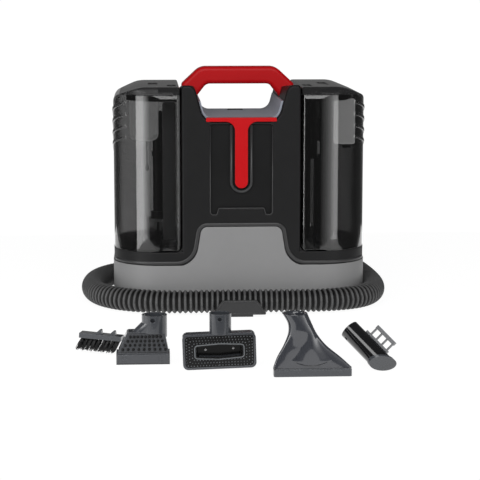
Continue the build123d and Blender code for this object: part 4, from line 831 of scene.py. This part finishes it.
@dataclass
class FrontTrim:
    """Raised lines on the machine's front: round the grey apron, the window, the stem and the clip, drawn in a lighter
    black than the parts under them as painted highlight.

    A line's corners are (across, up) pairs on its own flat face, with a radius for each. A
    bead is given as its width and its height.
    """

    wardrobe: Wardrobe
    face: float = -0.0990
    corner: tuple[float, float] = (0.1010, -0.0360)
    corner_radius: float = 0.0630
    corner_reach: float = 75.0
    rim_height: float = 0.0612
    apron_top: float = 0.1108
    apron_top_half: float = 0.0538
    apron_foot_half: float = 0.0620
    apron_radii: tuple[float, ...] = (0.0, 0.0252, 0.0118, 0.0118, 0.0252, 0.0)
    apron_bead: tuple[float, float] = (0.0046, 0.0008)
    window_line: tuple[tuple[float, float], ...] = (
        (-0.0398, 0.2370), (-0.0398, 0.1235), (-0.0313, 0.1235), (-0.0290, 0.1320),
        (0.0290, 0.1320), (0.0313, 0.1235), (0.0398, 0.1235), (0.0398, 0.2370))
    window_radii: tuple[float, ...] = (0.0, 0.004, 0.0022, 0.0022, 0.0022, 0.0022, 0.004, 0.0)
    window_bead: tuple[float, float] = (0.0014, 0.0005)
    stem_half: float = 0.0128
    stem_top: float = 0.2385
    stem_low: float = 0.1534
    stem_lip: float = 0.0008
    stem_bead: tuple[float, float] = (0.0026, 0.0006)
    clip_x: float = -0.0050
    clip_face: float = -0.1512
    clip_line: tuple[tuple[float, float], ...] = (
        (-0.0325, 0.0050), (-0.0207, 0.0206), (0.0207, 0.0206), (0.0325, 0.0050))
    clip_radii: tuple[float, ...] = (0.0, 0.0034, 0.0034, 0.0)
    clip_bead: tuple[float, float] = (0.0011, 0.0003)

    def on_front(self, name: str, flat: np.ndarray, y: float, size: tuple[float, float], slot: str) -> None:
        """Lay one bead over flat points on an upright plane that faces the front.

        Args:
            name: The piece's name.
            flat: Points as (across, up) pairs.
            y: Where the plane stands.
            size: The bead's width and height.
            slot: The record's material slot.
        """
        route = np.stack([flat[:, 0], np.full(len(flat), y), flat[:, 1]], axis=1)
        # The bead's lighter black is painted highlight.
        self.wardrobe.wear(bead(name, route, np.array([0.0, -1.0, 0.0]), *size), slot, "machine", "rim_black")

    def apron(self) -> None:
        """A bead up and over the apron and on round both corners, above the grey rim.

        Round a corner, a point is the corner's centre plus its radius times sine and cosine.
        """
        flat = rounded_route([(-self.corner[0], self.rim_height), (-self.apron_foot_half, self.rim_height),
                              (-self.apron_top_half, self.apron_top), (self.apron_top_half, self.apron_top),
                              (self.apron_foot_half, self.rim_height), (self.corner[0], self.rim_height)],
                             list(self.apron_radii), 12)
        turn = np.linspace(math.radians(self.corner_reach), 0.0, 14)[:-1]
        left = np.stack([-self.corner[0] - self.corner_radius * np.sin(turn),
                         self.corner[1] - self.corner_radius * np.cos(turn),
                         np.full(len(turn), self.rim_height)], axis=1)
        mirrored = np.array([-1.0, 1.0, 1.0])
        front = np.stack([flat[:, 0], np.full(len(flat), self.face), flat[:, 1]], axis=1)
        away = np.stack([-np.sin(turn), -np.cos(turn), np.zeros(len(turn))], axis=1)
        out = np.concatenate([away, np.tile([0.0, -1.0, 0.0], (len(flat), 1)), away[::-1] * mirrored])
        piece = bead("apron_bead", np.concatenate([left, front, left[::-1] * mirrored]), out, *self.apron_bead)
        # The bead's lighter black is painted highlight.
        self.wardrobe.wear(piece, "cover_black", "machine", "rim_black")

    def window(self) -> None:
        """A fine bead along the window's ledge and up its sides."""
        flat = rounded_route(list(self.window_line), list(self.window_radii))
        self.on_front("window_bead", flat, self.face, self.window_bead, "cover_black")

    def stem(self) -> None:
        """A fine bead on the lip round the red stem."""
        half, radius = self.stem_half, self.stem_half - 0.0001
        flat = rounded_route([(-half, self.stem_top), (-half, self.stem_low), (half, self.stem_low),
                              (half, self.stem_top)], [0.0, radius, radius, 0.0], 14)
        self.on_front("stem_bead", flat, self.face - self.stem_lip, self.stem_bead, "cover_black")

    def clip(self) -> None:
        """A bead along the top and the slanted sides of the hose clip's plate."""
        flat = rounded_route(list(self.clip_line), list(self.clip_radii)) + np.array([self.clip_x, 0.0])
        self.on_front("clip_bead", flat, self.clip_face, self.clip_bead, "fitting_black")

    def build(self) -> None:
        """Lay every line."""
        self.apron()
        self.window()
        self.stem()
        self.clip()


@dataclass(frozen=True)
class BlockFitting:
    """An upright block inside a tank, between two corners."""

    name: str
    low: tuple[float, float, float]
    high: tuple[float, float, float]
    slot: str = "inner_black"
    finish: str = ""
    squareness: float = 9.0

    def make(self) -> bpy.types.Object:
        """Build the block."""
        return block(self.name, self.low, self.high, self.squareness)


@dataclass(frozen=True)
class TurnedFitting:
    """A turned fitting inside a tank: its upright axis and its (radius, height) pairs from the bottom up."""

    name: str
    axis: tuple[float, float]
    profile: tuple[tuple[float, float], ...]
    around: int
    slot: str = "inner_black"
    finish: str = ""

    def make(self) -> bpy.types.Object:
        """Turn the profile about the axis."""
        radii, heights = zip(*self.profile)
        return turned(self.name, self.axis, list(radii), list(heights), self.around)


Fitting = BlockFitting | TurnedFitting


@dataclass
class TankFittings:
    """Moulded parts seen dimly inside the two smoked tanks, among them a near-black sheet of painted shade and two
    parts that glow as painted light, and dark lines of painted shade on their finger ribs.
    """

    wardrobe: Wardrobe
    corner: tuple[float, float] = (0.1010, -0.0360)
    rib_radius: float = 0.0635
    rib_slope: float = 16.0
    rib_middle: tuple[float, float] = (-0.0350, 0.0040)
    rib_heights: tuple[float, ...] = (0.206, 0.22, 0.235, 0.25)
    rib_sweep: tuple[float, float] = (-15.0, 37.0)
    rib_bead: tuple[float, float] = (0.0016, 0.0003)
    clean: tuple[Fitting, ...] = (
        BlockFitting("partition", (-0.1000, -0.0460, 0.0835), (-0.0830, -0.0380, 0.2640), finish="inner_grey"),
        TurnedFitting("gauge_rod", (-0.1205, -0.0020),
                      ((0.0012, 0.1700), (0.0024, 0.1720), (0.0024, 0.1765), (0.0009, 0.1790),
                       (0.0009, 0.2360), (0.0022, 0.2380), (0.0022, 0.2430), (0.0010, 0.2450)), 16),
        BlockFitting("pickup_head", (-0.1195, 0.0075, 0.2362), (-0.1030, 0.0112, 0.2480)),
        TurnedFitting("sump_ring", (-0.1290, -0.0300),
                      ((0.0290, 0.0810), (0.0290, 0.0875), (0.0282, 0.0882), (0.0274, 0.0875), (0.0268, 0.0825)),
                      48, finish="valve_smoke"))
    dirty: tuple[Fitting, ...] = (
        # A near-black sheet beside the cover's arm: painted shade.
        BlockFitting("dirty_partition", (0.0838, -0.0880, 0.0835), (0.0900, -0.0300, 0.2640), finish="throat_black"),
        # The skimmer box and the drain pin glow: painted light.
        BlockFitting("skimmer_box", (0.1225, -0.0700, 0.2110), (0.1490, -0.0530, 0.2690), "cup_clear",
                     "baffle_milky"),
        BlockFitting("skimmer_hook", (0.1330, -0.0705, 0.2062), (0.1440, -0.0560, 0.2103), squareness=5.0),
        TurnedFitting("drain_pin", (0.0890, -0.0760),
                      ((0.0012, 0.1040), (0.0024, 0.1046), (0.0026, 0.1066), (0.0022, 0.1086), (0.0010, 0.1094)),
                      20, "cup_clear", "baffle_milky"))

    def rib_shade_lines(self, side: Side) -> None:
        """Painted shade: dark lines along the crests of a tank's four slanted finger ribs.

        A point is the corner's centre plus the radius times cosine and sine, and its height
        falls towards the back by the slope's tangent.

        Args:
            side: Which tank.
        """
        turn = np.radians(np.linspace(*self.rib_sweep, 20))
        out = np.stack([side.value * np.cos(turn), -np.sin(turn), np.zeros(len(turn))], axis=1)
        centre = np.array([side.value * self.corner[0], self.corner[1], 0.0])
        fall = math.tan(math.radians(self.rib_slope))
        sheets = []
        for height in self.rib_heights:
            line = out * self.rib_radius + centre
            line[:, 2] = height + self.rib_middle[1] - fall * (line[:, 1] - self.rib_middle[0])
            sheets.append(bead_sheet(line, out, *self.rib_bead))
        name = side.name.lower()
        piece = facing_out(sheets_to_piece(f"{name}_rib_lines", np.concatenate(sheets)))
        self.wardrobe.wear(piece, "inner_black", f"{name}_tank_body")

    def build(self) -> None:
        """Fit both tanks."""
        for fittings, body in ((self.clean, "clean_tank_body"), (self.dirty, "dirty_tank_body")):
            for fitting in fittings:
                self.wardrobe.wear(fitting.make(), fitting.slot, body, fitting.finish)
        for side in Side:
            self.rib_shade_lines(side)


@dataclass
class NubbedTools:
    """Nubs, rims and bristles of the brush tool, the pet hair tool and the brush strip.

    The tools' places are (X, Y) pairs in metres, a nub or a screw is given as its radius and
    its height, and depths are measured backwards from the pet tool's place. The strip's tufts
    are in millimetres, in the strip's own frame, before it is leant about Y and swung about Z.
    """

    wardrobe: Wardrobe
    brush_at: tuple[float, float] = (-0.1260, -0.3960)
    brush_grid: tuple[int, int] = (4, 9)
    brush_face: float = 0.0108
    brush_low: float = 0.0175
    brush_rise: float = 0.0047
    brush_middle: tuple[float, float] = (0.0012, 0.00055)
    brush_spread: tuple[float, float] = (0.0235, -0.0023)
    brush_nub: tuple[float, float] = (0.0017, 0.0013)
    pet_at: tuple[float, float] = (-0.0430, -0.4300)
    pet_middle: float = 0.0210
    pet_tilt: float = 1.8
    pet_rings: int = 3
    pet_ring_half: tuple[float, float] = (0.0358, 0.0154)
    pet_ring_step: float = 0.0031
    pet_nub_pitch: float = 0.0033
    pet_nub: tuple[float, float] = (0.00075, 0.0008)
    pet_nub_depth: float = -0.0057
    slot_line: tuple[tuple[float, float], ...] = (
        (0.0, -0.0086), (0.0268, -0.0070), (0.0268, 0.0070), (0.0, 0.0086), (-0.0268, 0.0070),
        (-0.0268, -0.0070), (0.0, -0.0086))
    slot_radii: tuple[float, ...] = (0.0, 0.003, 0.003, 0.05, 0.003, 0.003, 0.0)
    slot_rim: tuple[float, float] = (0.0012, 0.0004)
    slot_rim_depth: float = -0.0074
    # The near-black sheet of painted shade in the slot: its share of the slot, its inner wall and its depths.
    slot_shade_share: float = 0.9
    slot_shade_wall: float = 0.97
    slot_shade_depths: tuple[float, float, float] = (0.0052, -0.0038, 0.0048)
    screws_at: tuple[tuple[float, float], ...] = ((-0.0150, 0.0), (0.0156, 0.0004))
    screw: tuple[float, float] = (0.0015, 0.0012)
    screw_depth: float = 0.0047
    strip_at: tuple[float, float] = (-0.1745, -0.3470)
    strip_lean: float = 3.5
    strip_swing: float = -14.0
    tuft_grid: tuple[int, int] = (3, 9)
    tuft_root: tuple[float, float, float] = (-20.5, -4.5, 17.4)
    tuft_foot: tuple[float, float, float] = (-26.0, -5.6, 2.6)
    tuft_pitch: float = 5.1
    row_pitch: tuple[float, float] = (4.5, 4.3)
    strands: int = 26
    strand_radii: tuple[float, float, float] = (0.44, 0.40, 0.22)

    def brush(self) -> None:
        """Rows of black nubs over the pad's own short pegs, closer together row by row upwards."""
        rows, columns = self.brush_grid
        row, column = np.meshgrid(np.arange(rows), np.arange(columns), indexing="ij")
        (middle, middle_step), (spread, spread_step) = self.brush_middle, self.brush_spread
        across = middle + middle_step * row + (spread + spread_step * row) * (column - columns // 2) / (columns // 2)
        centres = np.stack([self.brush_at[0] + across,
                            np.full(self.brush_grid, self.brush_at[1] - self.brush_face),
                            self.brush_low + self.brush_rise * row], axis=-1).reshape(-1, 3)
        self.wardrobe.wear(domes("brush_tool_nubs", centres, *self.brush_nub), "nub_rubber", "brush_tool", "nub_black")

    def on_plate(self, flat: np.ndarray, y: float) -> np.ndarray:
        """Turn flat points with the pet tool's plate and set them at a depth.

        Args:
            flat: Points as (across, up) pairs from the plate's middle.
            y: How far behind the tool's place they stand.

        Returns:
            Points of shape (rows, 3).
        """
        across, up = flat[:, 0], flat[:, 1]
        tilt = math.radians(self.pet_tilt)
        return np.stack([self.pet_at[0] + across * math.cos(tilt) - up * math.sin(tilt),
                         np.full(len(across), self.pet_at[1] + y),
                         self.pet_middle + across * math.sin(tilt) + up * math.cos(tilt)], axis=1)

    def nub_rings(self) -> np.ndarray:
        """Evenly spaced places on the border's round-cornered rings, as (across, up) pairs."""
        rings = []
        for ring in range(self.pet_rings):
            wide, tall = (half - self.pet_ring_step * ring for half in self.pet_ring_half)
            loop = rounded_route([(0.0, -tall), (wide, -tall), (wide, tall), (-wide, tall), (-wide, -tall),
                                  (0.0, -tall)], [0.0, 0.003, 0.003, 0.003, 0.003, 0.0], 4)
            walked = distances(loop)
            wanted = np.arange(0.0, walked[-1], self.pet_nub_pitch)
            rings.append(np.stack([np.interp(wanted, walked, loop[:, k]) for k in range(2)], axis=1))
        return np.concatenate(rings)

    def pet(self) -> None:
        """A near-black sheet in the slot as painted shade, two screws with near-white heads as painted glints, fine
        nubs on the border and a rim round the slot.
        """
        slot = rounded_route(list(self.slot_line), list(self.slot_radii), 5)
        outer = slot[:-1] * self.slot_shade_share
        inner = outer * self.slot_shade_wall
        deep, mouth, floor = self.slot_shade_depths
        slot_shade = np.stack([self.on_plate(outer, deep), self.on_plate(outer, mouth),
                           self.on_plate(inner, mouth), self.on_plate(inner, floor)])
        screws = self.on_plate(np.array(self.screws_at), self.screw_depth)
        nubs = self.on_plate(self.nub_rings(), self.pet_nub_depth)
        rim = self.on_plate(slot, self.slot_rim_depth)
        wear = self.wardrobe.wear
        # The slot's near-black sheet is painted shade, and the screw heads' near white is a painted glint.
        wear(facing_out(sheets_to_piece("pet_tool_throat", slot_shade[None])), "tool_slate", "pet_tool", "throat_black")
        wear(domes("pet_tool_screws", screws, *self.screw), "screw_steel", "pet_tool", "pale_pin")
        wear(domes("pet_tool_nubs", nubs, *self.pet_nub, 6), "nub_rubber", "pet_tool", "nub_slate")
        wear(bead("pet_tool_rim", rim, np.array([0.0, -1.0, 0.0]), *self.slot_rim),
             "tool_slate", "pet_tool", "nub_slate")

    def bristles(self) -> None:
        """Leaning tufts of loose strands under the brush strip.

        A strand goes from a random place in its tuft's root to one a little wider at its foot,
        bends by a random amount halfway, and ends at a random height just above the foot. Its
        three square rings are carried to the strip by a turn about Z and then one about Y.
        """
        draw = np.random.default_rng(11)
        tufts, strands = self.tuft_grid[0] * self.tuft_grid[1], self.strands
        row, column = (grid.ravel() for grid in np.meshgrid(*map(np.arange, self.tuft_grid), indexing="ij"))
        root, foot = (np.stack([x + self.tuft_pitch * column, y + pitch * row, np.full(tufts, z)], axis=1)
                      for (x, y, z), pitch in zip((self.tuft_root, self.tuft_foot), self.row_pitch))
        turn, away = draw.uniform(0, 2 * np.pi, (tufts, strands)), np.sqrt(draw.uniform(0, 1, (tufts, strands)))
        spread = np.stack([np.cos(turn) * away, np.sin(turn) * away, np.zeros_like(turn)], axis=-1)
        start = root[:, None] + 1.5 * spread
        ragged = draw.uniform((-0.7, -0.3, 0.0), (0.9, 0.3, 3.6), (tufts, strands, 3))
        end = foot[:, None] + 1.9 * spread + ragged
        middle = (start + end) / 2 + draw.uniform(-0.45, 0.45, (tufts, strands, 3))
        line = np.stack([start, middle, end], axis=2).reshape(-1, 3, 1, 3)
        corner = np.linspace(0, 2 * np.pi, 5)[:-1]
        ring = np.stack([np.cos(corner), np.sin(corner), np.zeros(4)], axis=-1)[None, None]
        local = line + np.array(self.strand_radii)[None, :, None, None] * ring
        lean, swing = math.radians(self.strip_lean), math.radians(self.strip_swing)
        about_z = np.array([[math.cos(swing), -math.sin(swing), 0], [math.sin(swing), math.cos(swing), 0], [0, 0, 1]])
        about_y = np.array([[math.cos(lean), 0, math.sin(lean)], [0, 1, 0], [-math.sin(lean), 0, math.cos(lean)]])
        points = local @ (about_y @ about_z).T * MM + np.array([*self.strip_at, 0.0])
        piece = facing_out(sheets_to_piece("bristle_strands", points))
        self.wardrobe.wear(piece, "bristle", "bristle_insert_body")
        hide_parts("bristle_tufts")

    def build(self) -> None:
        """Dress the tools."""
        self.brush()
        self.pet()
        self.bristles()


@dataclass
class UpholsteryNozzle:
    """The flared nozzle's glossy body with its funnel-shaped swelling in front."""

    wardrobe: Wardrobe
    place: tuple[float, float] = (0.0550, -0.4650)
    wall: float = 0.0030
    swelling: float = 0.0034
    swelling_top: float = 0.0520
    swelling_fade: float = 0.0200
    funnel_x: float = -0.0013
    funnel_top: float = 0.0480
    funnel_length: float = 0.0310
    funnel_half: float = 0.0050
    funnel_widens: float = 0.0180
    edge_low: float = 0.0120
    edge_rise: float = 0.0055
    edge_half: float = 0.0220
    edge_step: float = 0.0007
    sections: tuple[tuple[float, ...], ...] = (
        (0.0086, 0.0006, 0.0000, 0.0850, 0.0185, 4.0), (0.0190, -0.0032, 0.0000, 0.0700, 0.0195, 3.0),
        (0.0335, -0.0080, 0.0000, 0.0450, 0.0210, 2.5), (0.0450, -0.0103, 0.0015, 0.0315, 0.0230, 2.2),
        (0.0560, -0.0130, 0.0030, 0.0260, 0.0260, 2.0), (0.0675, -0.0185, 0.0050, 0.0270, 0.0270, 2.0))

    def levels(self, heights: np.ndarray) -> np.ndarray:
        """The sections at any heights, by cubic curves whose slopes are the neighbours' mean slopes.

        Args:
            heights: Z of each wanted level.

        Returns:
            X, Y, width, depth and squareness of each level, of shape (5, levels).
        """
        keys = np.array(self.sections)
        z, values = keys[:, 0], keys[:, 1:].T
        slopes = np.gradient(values, z, axis=1)
        at = np.clip(np.searchsorted(z, heights, side="right") - 1, 0, len(z) - 2)
        span = z[at + 1] - z[at]
        t = (heights - z[at]) / span
        return (values[:, at] * (2 * t**3 - 3 * t**2 + 1) + values[:, at + 1] * (3 * t**2 - 2 * t**3)
                + slopes[:, at] * span * (t**3 - 2 * t**2 + t) + slopes[:, at + 1] * span * (t**3 - t**2))

    def wall_at(self, heights: np.ndarray, inset: float, columns: int, swollen: bool) -> np.ndarray:
        """One wall of the nozzle as a grid of points.

        Each level is a superellipse, whose front half gets shallower from the neck down. Where
        it is swollen, a funnel that is narrow above and wide below fills that depth again, as a
        raised cosine across, and ends on a U-shaped edge.

        Args:
            heights: Z of each level.
            inset: How far the wall is drawn in.
            columns: Points in a level.
            swollen: Whether the funnel stands out.

        Returns:
            Points of shape (levels, columns, 3).
        """
        x, y, width, depth, power = (row[:, None] for row in self.levels(heights))
        turn = np.linspace(0.0, 2.0 * np.pi, columns, endpoint=False)[None]
        across = np.sign(np.cos(turn)) * np.abs(np.cos(turn)) ** (2.0 / power) * (width / 2 - inset)
        points_x, z = x + across, np.broadcast_to(heights[:, None], (len(heights), columns))
        fall = np.clip((self.swelling_top - z) / self.swelling_fade, 0.0, 1.0)
        shallow = self.swelling * fall * fall * (3.0 - 2.0 * fall)
        half_depth = depth / 2 - inset - np.where(np.sin(turn) < 0.0, shallow, 0.0)
        along = np.sign(np.sin(turn)) * np.abs(np.sin(turn)) ** (2.0 / power) * half_depth
        if swollen:
            reach = np.clip((self.funnel_top - z) / self.funnel_length, 0.0, 1.0)
            from_middle = points_x - self.funnel_x
            offset = from_middle / (self.funnel_half + self.funnel_widens * reach**1.8)
            edge = self.edge_low + self.edge_rise * np.clip(np.abs(from_middle) / self.edge_half, 0.0, 1.5) ** 2
            ridge = np.where(np.abs(offset) < 1.0, 0.5 + 0.5 * np.cos(np.pi * offset), 0.0) ** 0.8
            ridge = ridge * np.clip((z - edge) / self.edge_step, 0.0, 1.0)
            along = along - shallow * ridge * np.clip(-np.sin(turn) * 2.5, 0.0, 1.0)
        return np.stack([self.place[0] + points_x, self.place[1] + y + along, z], axis=-1)

    def build(self) -> None:
        """Run up the outside, over the rim and down the inside, and close the two edges."""
        fine = np.concatenate([np.linspace(0.0086, 0.0240, 60), np.linspace(0.0246, 0.0675, 60)])
        outer = self.wall_at(fine, 0.0, 160, True)
        inner = self.wall_at(fine[::-3], self.wall, 160, False)
        rows = np.concatenate([outer, inner, outer[:1]])
        piece = facing_out(sheets_to_piece("upholstery_nozzle", rows[None], ends=Ends.OPEN))
        self.wardrobe.wear(piece, "tool_slate", "upholstery_tool", "nozzle_slate")
        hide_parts("upholstery_tool_body")


# ---------------------------------------------------------------- together


def main() -> None:
    """Build everything in order, logging each new piece's face count."""
    logging.basicConfig(level=logging.INFO, format="%(name)s: %(message)s")
    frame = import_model()
    wardrobe = Wardrobe()
    Studio().build()
    wardrobe.dress_packed(frame)
    StowedHose(wardrobe).build()
    for assembly in (FrontTrim, TankFittings, NubbedTools, UpholsteryNozzle):
        assembly(wardrobe).build()


if __name__ == "__main__":
    main()
